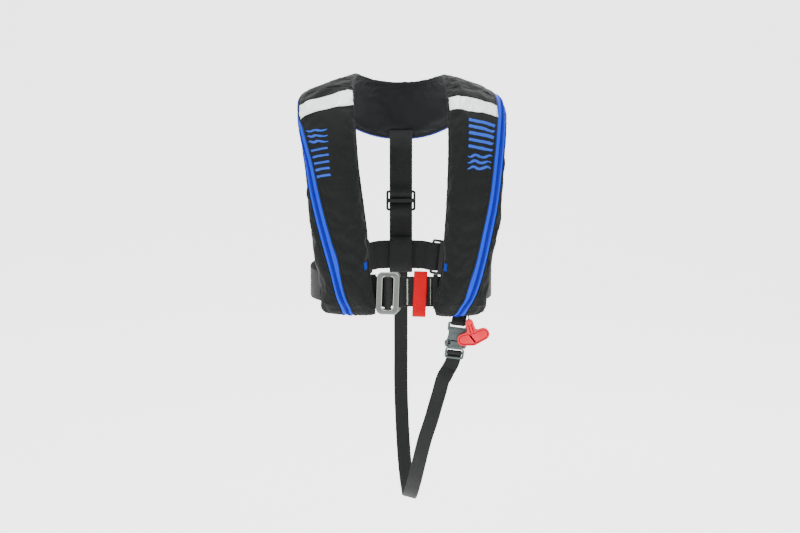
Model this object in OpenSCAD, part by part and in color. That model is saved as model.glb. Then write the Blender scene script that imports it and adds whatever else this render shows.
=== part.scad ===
/* [Webbing] */
// Width of the waist belt webbing
belt_w = 50; // [45:1:50]
// Thickness of one layer of webbing
web_t = 1.6; // [1.4:0.1:1.6]
// Width of the crotch strap
crotch_w = 24; // [20:1:24]
// Width of the back strap
back_w = 40; // [30:1:44]

/* [Cover] */
// Thickness of the cover cloth with its facing
cloth_t = 2; // [1.5:0.25:2]
// Half of the visible width of the zip
zip_half = 9.5; // [8:0.5:10]

/* [Inflator] */
// Radius of the gas cylinder
gas_r = 14.5; // [12:0.5:14.5]
// Radius of the oral tube
tube_r = 6; // [5:0.5:6]

/* [Fittings] */
// Height of the slide buckle
slide_h = 70; // [66:1:72]
// Width of the slide buckle
slide_w = 37; // [36:1:38]
// Thickness of the pull handle
handle_t = 6; // [5:0.5:7]

/* [Hidden] */
$fn = 48;

// ---------------------------------------------------------------- helpers
function unit(v) = v / max(norm(v), 1e-9);
function at_key(K, s) =
  let (n = len(K), q = min(max(s, 0), n - 1.00001), i = floor(q), f = q - i,
       a = K[i], b = K[i + 1],
       z = i > 0 ? K[i - 1] : 2 * a - b, c = i < n - 2 ? K[i + 2] : 2 * b - a)
  0.5 * (2 * a + (b - z) * f + (2 * z - 5 * a + 4 * b - c) * f * f + (3 * a - z - 3 * b + c) * f * f * f);

// Solid through closed rings of points, each ring turning right-handed about the path.
module skin(rings, loop = false, strip = false) {
  n = len(rings[0]);
  m = len(rings);
  pts = [for (r = rings) for (p = r) p];
  last = loop ? m : m - 1;
  sides = [for (i = [0 : last - 1]) for (j = [0 : n - 1])
    let (a = i * n + j, b = ((i + 1) % m) * n + j, c = ((i + 1) % m) * n + (j + 1) % n, d = i * n + (j + 1) % n)
    each [[a, b, c], [a, c, d]]];
  e = (m - 1) * n;
  h = n / 2;
  ends = loop ? [] : strip
    ? [for (j = [0 : h - 2]) each [[j, j + 1, n - 2 - j], [j, n - 2 - j, n - 1 - j],
        [e + j, e + n - 2 - j, e + j + 1], [e + j, e + n - 1 - j, e + n - 2 - j]]]
    : [for (j = [1 : n - 2]) each [[0, j, j + 1], [e, e + j + 1, e + j]]];
  polyhedron(pts, concat(sides, ends), convexity = 8);
}

// Flat webbing of width w and thickness t along the points P; U is the width direction, one or one per point.
module ribbon(P, U, w, t, loop = false) {
  n = len(P);
  one = is_num(U[0]);
  skin([for (i = [0 : n - 1])
    let (a = loop ? P[(i + n - 1) % n] : P[max(i - 1, 0)], b = loop ? P[(i + 1) % n] : P[min(i + 1, n - 1)],
         T = unit(b - a), V = one ? U : U[i], u = unit(V - T * (V * T)), N = cross(T, u))
    [P[i] - u * w / 2 - N * t / 2, P[i] + u * w / 2 - N * t / 2, P[i] + u * w / 2 + N * t / 2, P[i] - u * w / 2 + N * t / 2]],
    loop = loop);
}
// Round cord of radius r along the points P.
module cordline(P, r, k = 8) {
  n = len(P);
  skin([for (i = [0 : n - 1])
    let (T = unit(P[min(i + 1, n - 1)] - P[max(i - 1, 0)]), u = unit(cross(T, [1, 0.3, 0])), v = cross(T, u))
    [for (j = [0 : k - 1]) P[i] + u * r * cos(j * 360 / k) + v * r * sin(j * 360 / k)]]);
}
// Points of an arc about c in the plane of a and b.
function arc(c, r, a, b, from, to, k) = [for (i = [0 : k]) let (q = from + (to - from) * i / k) c + a * r * cos(q) + b * r * sin(q)];
function smooth(K, k) = [for (i = [0 : k]) at_key(K, i * (len(K) - 1) / k)];
// Rounded rectangle as a plain outline.
module rrect(w, h, r) {
  union() {
    square([w - 2 * r, h], center = true);
    square([w, h - 2 * r], center = true);
    for (x = [-1, 1]) for (y = [-1, 1]) translate([x * (w / 2 - r), y * (h / 2 - r)]) circle(r);
  }
}

// ---------------------------------------------------------------- the U-shaped cover
// The cover is a U: up the wearer's right side, round the neck and down the left.
// Edge next to the neck and breastbone, at each station:
KI = [
  [-43, -131, -333], [-43, -135, -326], [-45, -137, -311], [-50.5, -141, -286], [-54, -144, -242], [-57, -146, -192],
  [-63.5, -145, -140], [-70, -137, -88], [-74, -119, -38], [-77, -90, 6], [-79, -50, 36], [-76, -6, 52],
  [-64, 34, 49], [-45, 64, 42], [-23, 80, 38], [0, 85, 37], [23, 80, 38], [44, 64, 42],
  [62, 34, 48], [71, -6, 50], [75, -50, 36], [77, -90, 6], [78, -119, -38], [77.5, -137, -88],
  [75.5, -145, -140], [73, -146, -192], [70, -144, -242], [64, -141, -286], [58, -137, -312], [56.5, -135, -327],
  [59, -131, -335]];
// Edge next to the arms and the shoulder blades:
KO = [
  [-124, -102, -334], [-131, -102, -327], [-132, -101, -313], [-133, -103, -288], [-141, -107, -244], [-148, -110, -194],
  [-153, -110, -142], [-156, -102, -92], [-165, -84, -44], [-171, -54, -8], [-171, -16, 10], [-158, 30, 14],
  [-131, 78, -6], [-93, 107, -38], [-48, 118, -58], [0, 121, -64], [48, 118, -58], [92, 108, -38],
  [130, 78, -8], [155, 30, 12], [168, -16, 8], [173, -54, -12], [172, -84, -46], [169, -102, -92],
  [165, -110, -142], [160, -110, -194], [150, -107, -244], [143, -103, -290], [141, -101, -315], [138, -102, -329],
  [128, -102, -337]];
// Half thickness, crown side:
KT = [5.4, 14, 21, 23, 23, 22, 21, 19, 17, 15, 12, 10, 11, 13, 14, 14, 14, 13, 11, 10, 12, 15, 17, 19, 21, 22, 23, 23, 21, 14, 5.4];
// Angle of the zip round the section, 0 at the outer edge and 90 at the crown:
KZ = [93, 93, 92, 89, 84, 73, 60, 42, 19, -7, -11, -6, 2, 5, 5, 5, 5, 5, 6, 12, 28, 37, 44, 52, 59, 70, 76, 84, 90, 93, 98];
LAST = 30;

function mid(s) = (at_key(KI, s) + at_key(KO, s)) / 2;
function wide(s) = unit(at_key(KO, s) - at_key(KI, s));
function half(s) = norm(at_key(KO, s) - at_key(KI, s)) / 2;
function face(s) = unit(cross(mid(min(s + 0.05, LAST)) - mid(max(s - 0.05, 0)), wide(s)));
function pw(v) = sign(v) * pow(abs(v), 0.8);
// Point of the cover's surface at station s and angle q, moved out by r.
function skinpt(s, q, r) =
  mid(s) + wide(s) * pw(cos(q)) * (half(s) + r)
  + face(s) * pw(sin(q)) * (sin(q) < 0 ? 0.85 : 1) * max(at_key(KT, s) + r, 0.6);
function zspan(s, h) = let (q = at_key(KZ, s), d = norm(skinpt(s, q + 4, 0) - skinpt(s, q - 4, 0)) / 8) h / d;
function qz(s) = at_key(KZ, s);
// Panel of the shell between the angles q0(s) and q1(s), given as lists.
function strip_ring(s, a, b, m, r0, r1) = concat(
  [for (j = [0 : m]) skinpt(s, a + (b - a) * j / m, r1)],
  [for (j = [m : -1 : 0]) skinpt(s, a + (b - a) * j / m, r0)]);
seam_in = 192;
function seam_out(s) = min(-14, qz(s) - zspan(s, zip_half) - 4);
// Stations of a run.
function run(a, b, k) = [for (i = [0 : k]) a + (b - a) * i / k];
R_RUN = concat([0, 0.3, 0.6], run(1, 9.75, 21));
L_RUN = concat(run(20.25, 29, 16), [29.4, 29.7, 30]);
C_RUN = run(9.78, 20.22, 20);

module front_panel(S) {
  skin([for (s = S) strip_ring(s, qz(s) + zspan(s, zip_half) + 0.6, seam_in - 0.4, 9, -cloth_t, 0)], strip = true);
}
module side_panel(S) {
  skin([for (s = S) strip_ring(s, seam_out(s) + 0.4, max(qz(s) - zspan(s, zip_half) - 1, seam_out(s) + 2.6), 4, -cloth_t, 0)], strip = true);
}
module lining(S) {
  skin([for (s = S) strip_ring(s, seam_in + 0.4, 360 + seam_out(s) - 0.4, 8, -cloth_t, 0)], strip = true);
}
module right_front_panel() { color([0.06, 0.065, 0.065]) front_panel(R_RUN); }
module left_front_panel() { color([0.06, 0.065, 0.065]) front_panel(L_RUN); }
module right_side_panel() { color([0.06, 0.065, 0.065]) side_panel(R_RUN); }
module left_side_panel() { color([0.06, 0.065, 0.065]) side_panel(L_RUN); }
module right_lining() { color([0.09, 0.09, 0.1]) lining(R_RUN); }
module left_lining() { color([0.09, 0.09, 0.1]) lining(L_RUN); }
module collar_cover() { color([0.06, 0.065, 0.065]) front_panel(C_RUN); }
module collar_lining() {
  color([0.09, 0.09, 0.1]) {
    lining(C_RUN);
    side_panel(C_RUN);
  }
}
// Reflective tape across the shoulder: its two edges at the outer and inner ends.
module reflective(a0, b0, a1, b1, q_out) {
  skin([for (i = [0 : 4]) let (f = i / 4)
    concat([for (j = [0 : 9]) let (q = q_out + (172 - q_out) * j / 9, g = j / 9) skinpt((a0 + (a1 - a0) * g) * (1 - f) + (b0 + (b1 - b0) * g) * f, q, 0.9)],
           [for (j = [9 : -1 : 0]) let (q = q_out + (172 - q_out) * j / 9, g = j / 9) skinpt((a0 + (a1 - a0) * g) * (1 - f) + (b0 + (b1 - b0) * g) * f, q, 0.3)])], strip = true);
}
module right_reflective_band() { color([0.8, 0.84, 0.84]) reflective(8.52, 9.13, 8.99, 9.68, 36); }
module left_reflective_band() { color([0.8, 0.84, 0.84]) reflective(20.9, 21.4, 20.69, 21.21, 58); }

Z_RUN = concat(R_RUN, C_RUN, L_RUN);
module zip_tape() {
  color([0.1, 0.36, 0.95])
    skin([for (s = Z_RUN) strip_ring(s, qz(s) - zspan(s, zip_half) + 0.2, qz(s) + zspan(s, zip_half) - 0.2, 4, -1.5, 0.3)], strip = true);
}
module zip_coil() {
  color([0.04, 0.16, 0.8])
    skin([for (s = Z_RUN) strip_ring(s, qz(s) - zspan(s, 2.2), qz(s) + zspan(s, 2.2), 2, 0.8, 2.2)], strip = true);
}
// Frame at station s: x out to the outer edge, y towards the body, z across them.
module at(s) {
  X = wide(s);
  Y = -face(s);
  Z = cross(X, Y);
  c = mid(s);
  multmatrix([[X[0], Y[0], Z[0], c[0]], [X[1], Y[1], Z[1], c[1]], [X[2], Y[2], Z[2], c[2]], [0, 0, 0, 1]]) children();
}
zs = 13.2;
module slider_frame() { at(zs) translate([half(zs) + 0.4, -2.2, 0]) rotate([10.3, -8.3, 0]) children(); }
module zip_slider() {
  color([0.15, 0.15, 0.17]) slider_frame() difference() {
    union() {
      translate([2.6, -4.6, -6]) cube([2.4, 9.2, 12]);
      for (y = [-4.6, 3.4]) translate([1.2, y, -6]) cube([1.6, 1.2, 12]);
      translate([4.8, -3, -4.5]) cube([4.6, 6, 3]);
    }
    translate([7.4, -10, -3]) rotate([-90, 0, 0]) cylinder(r = 0.9, h = 20);
  }
}
module zip_puller() {
  color([0.12, 0.12, 0.13]) slider_frame() translate([7.4, 0, -3]) {
    rotate([-90, 0, 0]) translate([0, 0, -5]) cylinder(r = 0.8, h = 10);
    for (y = [-5.2, 3.6]) translate([-1, y, -1]) cube([9, 1.6, 2]);
    translate([7.6, -5.2, -1]) cube([3, 10.4, 2]);
    translate([10.4, -4, -1.4]) cube([20, 8, 2.8]);
  }
}

// ---------------------------------------------------------------- inside the cover
FRONT = [[0.6, 0], [1, 1], [6.5, 1], [8, 10], [9.5, 8], [11, 5], [12.5, 7], [15, 9], [17.5, 7], [19, 5], [20.5, 8], [22, 11], [22.6, 6], [23.4, -11.6], [24.5, -12.8], [26, -12.8], [28, -11.2], [28.6, -9.5]];
WIDTH = [[0, 0.95], [8.6, 0.88], [10.7, 0.6], [12.6, 0.82], [19, 0.88], [21, 0.95], [22.4, 0.95], [23.4, 0.6], [30, 0.6]];
module air_bladder() {
  color([0.95, 0.75, 0.05])
    skin([for (s = concat([0.7], run(1, 28, 36), [28.5])) let (hi = lookup(s, FRONT), lo = -(0.85 * at_key(KT, s) - 3.6), c = (hi + lo) / 2, h = (hi - lo) / 2)
      [for (j = [0 : 13]) let (q = j * 360 / 14) mid(s) + wide(s) * pw(cos(q)) * (half(s) - 10) * lookup(s, WIDTH) + face(s) * (c + pw(sin(q)) * h)]]);
}
gs = 26.75;
module inflator_frame() { at(gs) translate([-2, -3.5, 0]) rotate([-2.8, 0, 0]) children(); }
module inflator_body() {
  color([0.9, 0.8, 0.1]) inflator_frame() difference() {
    union() {
      translate([0, 0, 16]) linear_extrude(14) circle(12);
      translate([-20, -11, -14]) cube([40, 22, 30]);
      translate([0, 11, 2]) rotate([-90, 0, 0]) cylinder(r = 9, h = 2.2);
    }
    translate([0, 0, 14]) cylinder(r = 5.6, h = 20);
    translate([-27, -3, -20]) cube([20, 6, 16]);
    translate([-14, -20, -9]) rotate([-90, 0, 0]) cylinder(r = 1.55, h = 40);
  }
}
module inflator_cap() {
  color([0.85, 0.85, 0.82]) inflator_frame() translate([20.2, 0, 1]) rotate([0, 90, 0]) difference() {
    cylinder(r = 9.5, h = 9);
    for (a = [0 : 30 : 330]) rotate([0, 0, a]) translate([9.9, 0, -1]) cylinder(r = 1, h = 12);
  }
}
module lever_pin() {
  color([0.75, 0.76, 0.78]) inflator_frame() translate([-14, -10.8, -9]) rotate([-90, 0, 0]) cylinder(r = 1.5, h = 21.6);
}
module inflator_lever() {
  color([0.8, 0.1, 0.1]) inflator_frame() translate([-14, 0, -9]) rotate([90, 0, 0]) translate([0, 0, -2.6]) linear_extrude(5.2) difference() {
    union() {
      circle(3.4);
      translate([-2, -12]) square([5, 12]);
      translate([-3.5, -14]) square([27, 4]);
      translate([22.5, -12]) circle(3.4);
    }
    circle(1.55);
    translate([22.5, -12]) circle(1.6);
  }
}
module gas_cylinder() {
  color([0.45, 0.47, 0.5]) inflator_frame() rotate_extrude() polygon([
    [0, 17], [5.54, 17], [5.54, 31], [8, 33], [gas_r - 3, 40], [gas_r, 48], [gas_r, 120], [gas_r - 3, 128], [0, 131]]);
}
module manifold_nut() {
  color([0.7, 0.71, 0.73]) inflator_frame() translate([0, -13.2, 2]) rotate([-90, 0, 0]) cylinder(r = 5.5, h = 2, $fn = 6);
}
ts = 4.4;
module oral_frame() { at(ts) translate([-6, -8.8, 0]) rotate([180, 0, 0]) children(); }
module oral_tube() {
  color([0.1, 0.1, 0.1]) oral_frame() difference() {
    union() {
      translate([0, 0, -50]) cylinder(r = tube_r, h = 100);
      translate([0, 0, -53]) cylinder(r = tube_r + 1, h = 6);
    }
    translate([0, 0, -49]) cylinder(r = tube_r - 1.6, h = 110);
  }
}
module oral_valve() {
  color([0.9, 0.85, 0.2]) oral_frame() {
    translate([0, 0, 40]) cylinder(r = 2.2, h = 11.5);
    translate([0, 0, 44]) cylinder(r = tube_r - 1.8, h = 2);
  }
}
module oral_dust_cap() {
  color([0.85, 0.1, 0.1]) oral_frame() translate([0, 0, 44]) difference() {
    cylinder(r = tube_r + 1.6, h = 12);
    translate([0, 0, -1]) cylinder(r = tube_r + 0.05, h = 10.5);
  }
}
module whistle() {
  color([0.95, 0.5, 0.05]) at(ts) translate([16, -9, 10]) difference() {
    union() {
      translate([-7, -5, -20]) cube([14, 10, 34]);
      translate([0, 5, 14]) rotate([90, 0, 0]) cylinder(r = 7, h = 10);
    }
    translate([-5, -3, -24]) cube([4, 6, 30]);
    translate([1, -3, -24]) cube([4, 6, 30]);
    translate([0, 10, 16]) rotate([90, 0, 0]) cylinder(r = 1.6, h = 20);
  }
}

// ---------------------------------------------------------------- waist belt
bz = -299;
Z1 = [0, 0, 1];
BR = [[-62, -107.6, bz], [-80, -97.6, bz], [-98, -84.6, bz], [-119, -65, bz], [-140, -39, bz], [-152, -10, bz + 1], [-153, 18, bz + 5], [-139.6, 46, bz + 11], [-124, 68, bz + 17]];
function flip(P) = [for (i = [len(P) - 1 : -1 : 0]) [-P[i][0], P[i][1], P[i][2]]];
module belt_right() {
  color([0.03, 0.03, 0.03]) ribbon(concat([[-33.2, -112, bz], [-36, -111.2, bz], [-44, -110.8, bz], [-54, -110.4, bz]], smooth(BR, 22)), Z1, belt_w, web_t);
}
module belt_tail() {
  color([0.03, 0.03, 0.03]) ribbon([[-10, -105.8, bz], [-18, -105.6, bz], [-26, -105.8, bz], [-31.5, -106.5, bz], [-37, -107.6, bz], [-44, -108, bz], [-54, -107.6, bz], [-62, -104.8, bz], [-76, -97.2, bz], [-88, -89.2, bz]], Z1, belt_w, web_t);
}
bar = [-21.6, -123, bz];
// Webbing of the belt's tip: forward through the ring, round the slide buckle's bar and back.
module belt_end_loop() {
  X = [1, 0, 0];
  Y = [0, 1, 0];
  color([0.03, 0.03, 0.03]) ribbon(concat(
    [[-32.2, -112.2, bz], [-30.6, -114, bz], [-28.6, -117.6, bz], [-27.2, -120.6, bz]],
    arc(bar, 5.1, X, Y, 180, 450, 12),
    [[-24.6, -116.2, bz], [-28, -112.4, bz], [-32.2, -109.6, bz]]), Z1, belt_w, web_t);
}
module slide_buckle() {
  color([0.62, 0.64, 0.62]) {
    translate(bar) rotate([90, 0, 0]) translate([0, 0, -2.4]) linear_extrude(4.8) difference() {
      translate([-0.2, -1]) rrect(slide_w, slide_h, 9);
      translate([-0.4, -0.6]) rrect(slide_w - 18.6, slide_h - 14.6, 4);
    }
    translate(bar + [0, 0, -29.5]) cylinder(r = 4, h = 57);
  }
}
ring_x = -3;
module buckle_ring() {
  color([0.7, 0.72, 0.72]) {
    translate([-19.5, -116, bz]) rotate([90, 0, 0]) translate([0, 0, -2]) linear_extrude(4) difference() {
      rrect(38, 67, 7);
      translate([0, 0]) rrect(28, 54, 2);
      translate([12.5, -27]) square([10, 54]);
    }
    translate([ring_x, -116, bz - 28]) cylinder(r = 2.4, h = 56);
  }
}
module belt_left() {
  X = [1, 0, 0];
  Y = [0, 1, 0];
  c = [ring_x, -116, bz];
  color([0.03, 0.03, 0.03]) ribbon(concat(
    [[50, -107.8, bz], [30, -108.2, bz], [12, -108.4, bz], [5, -109.6, bz], [0, -111.4, bz]],
    arc(c, 3.6, X, Y, 90, 290, 9),
    [[1.6, -118, bz], [5, -114.2, bz], [8.4, -111.5, bz], [30, -111, bz], [50, -110.6, bz]],
    [for (p = smooth(BR, 22)) [-p[0], p[1], p[2]]]), Z1, belt_w, web_t);
}
// The webbing threads each adjuster: under its outer bars and over its middle bar.
adj_a = [-92, 91, bz + 26];
adj_b = [-48, 106, bz + 31];
adj_c = (adj_a + adj_b) / 2;
adj_t = unit(adj_b - adj_a);
adj_n = unit(cross(adj_t, Z1));
function thread(c, t, n) = [for (p = [[-19, -2.9], [-12.6, -2.9], [-8.2, 0.2], [-4.2, 3.1], [0, 3.2], [4.2, 3.1], [8.2, 0.2], [12.6, -2.9], [19, -2.9]]) c + t * p[0] + n * p[1]];
module belt_back() {
  half_line = concat([[-122.4, 69.4, bz + 17.6], [-114, 76.4, bz + 21], [-104, 84, bz + 24]], thread(adj_c, adj_t, -adj_n), [[-40, 108.4, bz + 32], [-25, 110.2, bz + 32.6], [-10, 110.9, bz + 33]]);
  A = cross(adj_t, -adj_n);
  B = [-A[0], A[1], A[2]];
  W = concat([Z1, Z1, Z1], [for (i = [0 : 8]) A], [Z1, Z1, Z1, Z1, Z1, Z1, Z1], [for (i = [0 : 8]) B], [Z1, Z1, Z1]);
  color([0.03, 0.03, 0.03]) ribbon(concat(half_line, [[0, 111, bz + 33]], flip(half_line)), W, belt_w, web_t);
}
// Plain three-bar adjuster in its own frame: x along the webbing, y across it, z out.
module triglide(w) {
  translate([0, 0, -1.75]) linear_extrude(3.5) difference() {
    rrect(36, w + 12, 4);
    for (s = [-1, 1]) translate([s * 8.7, 0]) square([11, w + 4], center = true);
  }
}
module frame_on(c, X, Z) {
  Y = cross(Z, X);
  multmatrix([[X[0], Y[0], Z[0], c[0]], [X[1], Y[1], Z[1], c[1]], [X[2], Y[2], Z[2], c[2]], [0, 0, 0, 1]]) children();
}
module belt_adjusters() {
  color([0.08, 0.08, 0.09]) {
    frame_on(adj_c, adj_t, -adj_n) triglide(belt_w);
    mirror([1, 0, 0]) frame_on(adj_c, adj_t, -adj_n) triglide(belt_w);
  }
}
module belt_stitching() {
  color([0.85, 0.86, 0.78]) for (p = [[10.6, -112.75], [48, -111.75]]) translate([p[0], p[1], bz]) cube([1.6, 0.3, 42], center = true);
}
module tunnel(x0, x1, z0, z1) {
  translate([x0, 0, z0]) difference() {
    translate([0, -114.4, 0]) cube([x1 - x0, 9.6, z1 - z0]);
    translate([-1, -113, 2]) cube([x1 - x0 + 2, 6.8, z1 - z0 - 4]);
  }
}
module right_belt_tunnel() { color([0.02, 0.02, 0.02]) tunnel(-55, -41, bz - 29, bz + 29); }
module left_belt_tunnel() { color([0.02, 0.02, 0.02]) tunnel(53, 61, bz - 29, bz + 29); }
module edge_tabs() {
  color([0.15, 0.35, 0.85]) {
    skin([for (s = [3.7, 3.83, 3.96]) strip_ring(s, 158, 168, 2, 0.4, 1.4)], strip = true);
    skin([for (s = [26.09, 26.22, 26.35]) strip_ring(s, 158, 168, 2, 0.4, 1.4)], strip = true);
  }
}
lx = 31;
module lifting_loop() {
  color([0.9, 0.03, 0.08]) ribbon(concat(
    [[lx - 1.4, -115.2, bz - 39]], [[lx + 1.4, -115.4, bz + 29]],
    [[lx + 1.5, -114.4, bz + 31.4], [lx + 1.6, -111.6, bz + 32.6], [lx + 1.5, -106, bz + 32.2], [lx + 1.4, -104.6, bz + 30]],
    [[lx - 1.4, -104.4, bz - 37], [lx - 1.5, -105.4, bz - 39.6], [lx - 1.6, -108, bz - 41], [lx - 1.5, -113, bz - 41]]), [1, 0, -0.04], 22, web_t, loop = true);
}

// ---------------------------------------------------------------- back strap
by = 118.5;
bc = [0, by, -172];
module back_strap() {
  color([0.03, 0.03, 0.03]) ribbon(concat(
    [[0, 102, -46.6], [0, 106.4, -54.6], [0, 110.7, -61.4], [0, 113.6, -66.5], [0, 116.6, -72], [0, 118.2, -78], [0, by, -86], [0, by, -120], [0, by, -146]], thread(bc, [0, 0, -1], [0, 1, 0]),
    [[0, by - 0.4, -199], [0, by - 0.8, -225], [0, 116.4, -245], [0, 115.6, -262], [0, 115, -285], [0, 114, -294], [0, 111, -297.6],
     [0, 107.6, -296.6], [0, 106, -292], [0, 106, -262], [0, 106.2, -245], [0, 107.5, -238.4], [0, 110.6, -236.8]]), [1, 0, 0], back_w, web_t);
}
module back_strap_adjuster() { color([0.08, 0.08, 0.09]) frame_on(bc, [0, 0, -1], [0, 1, 0]) triglide(back_w); }
module strap_stitching() {
  color([0.6, 0.6, 0.58]) {
    translate([0, by + 1.1, -92]) cube([back_w - 8, 0.4, 1.6], center = true);
    for (z = [-256, -284]) translate([0, 119.7, z]) cube([crotch_w - 6, 0.4, 1.6], center = true);
  }
}

// ---------------------------------------------------------------- crotch strap and its clip
cc = [91.5, -104, -380];
cr = 7;
module clip_frame() { translate(cc) rotate([0, cr, 0]) children(); }
module crotch_tab() {
  color([0.03, 0.03, 0.03]) clip_frame() ribbon(concat(
    [[3.4, 7.4, 55], [2.2, 5.6, 46], [0.6, 3.6, 35]], [[0, 3.1, 30.5]], arc([0, 0, 27], 3.1, [0, 1, 0], [0, 0, 1], -10, -170, 7), [[0, -3.1, 30.5], [0.8, -1.2, 36], [2.2, 3, 46], [3.4, 4.9, 55]]), [1, 0, 0], crotch_w - 1, web_t);
}
module clip_socket() {
  color([0.16, 0.19, 0.19]) clip_frame() {
    rotate([90, 0, 0]) difference() {
      translate([0, 0, -5]) linear_extrude(10) union() {
        translate([0, 9]) rrect(28, 20, 3);
        translate([0, 22]) rrect(33, 16, 3);
      }
      translate([-11, -10, -3]) cube([22, 25, 6]);
      translate([-20, -10, -3]) cube([40, 18, 6]);
      translate([-12.5, 20, -8]) cube([25, 20, 16]);
    }
    translate([-13, 0, 27]) rotate([0, 90, 0]) cylinder(r = 2, h = 26);
  }
}
module clip_plug() {
  color([0.14, 0.17, 0.17]) clip_frame() {
    rotate([90, 0, 0]) translate([0, 0, -4]) linear_extrude(8) union() {
      translate([0, -12.6]) rrect(24, 8, 2);
      translate([0, -8.4]) rrect(18, 12, 2);
    }
    rotate([90, 0, 0]) translate([0, 0, -3]) linear_extrude(6) difference() {
      translate([0, -23.8]) rrect(32, 17.4, 4);
      translate([-12.5, -29.3]) square([25, 13.1]);
    }
    rotate([90, 0, 0]) translate([0, 0, -2.4]) linear_extrude(4.8) translate([0, 3.5]) rrect(4, 14, 1.5);
    translate([-13, 0, -22]) rotate([0, 90, 0]) cylinder(r = 1.9, h = 26);
  }
}
module prong() {
  rotate([90, 0, 0]) translate([0, 0, -2.6]) linear_extrude(5.2) union() {
    translate([14.4, -13]) circle(1.8);
    polygon([[12.9, -13], [16.2, -13], [18.2, -10.5], [18.2, -3.8], [15.6, -2], [13.8, 7], [10.2, 7.4], [8, 12.4], [7.2, 12], [8.4, 4], [12.9, -1.6]]);
  }
}
module clip_prong_right() { color([0.14, 0.17, 0.17]) clip_frame() prong(); }
module clip_prong_left() { color([0.14, 0.17, 0.17]) clip_frame() mirror([1, 0, 0]) prong(); }
function to_clip(p) = [cc[0] + p[0] * cos(cr) + p[2] * sin(cr), cc[1] + p[1], cc[2] - p[0] * sin(cr) + p[2] * cos(cr)];
// Line of the strap from the clip to the crotch and up the back.
CF = [[73, -103, -440], [63, -104, -472], [51, -105, -514], [40, -101, -550], [30, -88, -594], [22, -66, -634], [16, -38, -662], [13.5, -14, -672], [13, -1.2, -673]];
CB = [[13, 1.2, -673], [12, 22, -669], [9, 52, -652], [5, 84, -612], [2, 106, -560], [0, 118, -500], [0, 122, -440], [0, 121, -390], [0, 119.4, -350]];
module crotch_strap() {
  U = [0.96, 0, -0.27];
  V = [cos(cr), 0, -sin(cr)];
  color([0.02, 0.02, 0.02]) {
    ribbon(concat(
      [for (p = [[-5.6, 5.4, -52], [-2.4, 5.8, -44], [-0.4, 5.4, -36], [0, 4.7, -28.6], [0, -1, -25.4]]) to_clip(p)],
      [for (p = arc([0, 0, -22], 3.1, [0, 1, 0], [0, 0, 1], 205, 30, 7)) to_clip(p)],
      [for (p = [[0, 6.2, -25], [0, 7.6, -29.4], [-0.4, 7.9, -36], [-2.4, 8.4, -44], [-5.6, 8.2, -52], [-9, 7.8, -62], [-12, 7.4, -70]]) to_clip(p)]), V, crotch_w, web_t);
    ribbon(concat([to_clip([-5, 5.5, -50.5])], smooth(CF, 20)), U, crotch_w, web_t);
  }
}
module crotch_strap_rear() {
  color([0.02, 0.02, 0.02]) ribbon(concat(smooth(CB, 20), [[0, 118.8, -320], [0, 118.4, -290], [0, 118.6, -250]]), [1, 0, 0], crotch_w, web_t);
}
// ---------------------------------------------------------------- manual inflation handle
eye = [111.9, -113.4, -347.8];
module handle_body() {
  hull() {
    translate([-17.4, -27.3]) circle(10);
    translate([16.8, -27.5]) circle(10.2);
    translate([-2.2, -28.9]) circle(12.8);
  }
}
module pull_handle() {
  color([0.9, 0.12, 0.14]) translate(eye) rotate([0, -17, 0]) rotate([90, 0, 0]) difference() {
    translate([0, 0, -handle_t / 2]) linear_extrude(handle_t) union() {
      translate([0, -3.5]) circle(6.7);
      translate([-6.7, -23]) square([13.4, 19.5]);
      handle_body();
    }
    for (s = [-1, 1]) translate([0, 0, s * (handle_t / 2 + 0.2)]) linear_extrude(2.2, center = true) {
      difference() {
        offset(delta = -2.3) handle_body();
        translate([0, -12.5]) square([13.4, 12], center = true);
      }
      translate([-3, -20]) square([1.1, 13]);
      translate([1.9, -20]) square([1.1, 13]);
    }
    // Seat of the cord's knot, flared so that the handle can swing.
    translate([0, 0, -1.5]) linear_extrude(3) polygon([[-1.9, -2], [1.9, -2], [5.4, 5], [-4.8, 5]]);
  }
}
module pull_cord() {
  color([0.02, 0.02, 0.02]) cordline([[108.6, -117, -304.6], [109.4, -114.6, -306], [110.8, -111.8, -308.6], [111.4, -110.9, -313], [111.8, -110.8, -319], [111.9, -110.8, -325], [111.9, -110.8, -331],
    [111.9, -110.8, -336.6], [111.9, -111, -340.2], [111.9, -112.7, -342.8], [111.9, -113.35, -344.8], [111.9, -113.4, -348.2]], 1);
}

// ---------------------------------------------------------------- what is drawn
right_front_panel();
left_front_panel();
right_side_panel();
left_side_panel();
right_lining();
left_lining();
collar_cover();
collar_lining();
right_reflective_band();
left_reflective_band();
zip_tape();
zip_coil();
zip_slider();
zip_puller();
air_bladder();
inflator_body();
inflator_cap();
inflator_lever();
lever_pin();
gas_cylinder();
manifold_nut();
oral_tube();
oral_valve();
oral_dust_cap();
whistle();
right_belt_tunnel();
left_belt_tunnel();
edge_tabs();
belt_right();
belt_tail();
belt_back();
belt_left();
belt_adjusters();
belt_stitching();
belt_end_loop();
slide_buckle();
buckle_ring();
lifting_loop();
back_strap();
back_strap_adjuster();
strap_stitching();
crotch_tab();
clip_socket();
clip_plug();
clip_prong_left();
clip_prong_right();
crotch_strap();
crotch_strap_rear();
pull_cord();
pull_handle();
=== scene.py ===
import math
import random

import bpy
import bmesh
import numpy as np
from mathutils import Matrix, Vector


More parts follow.
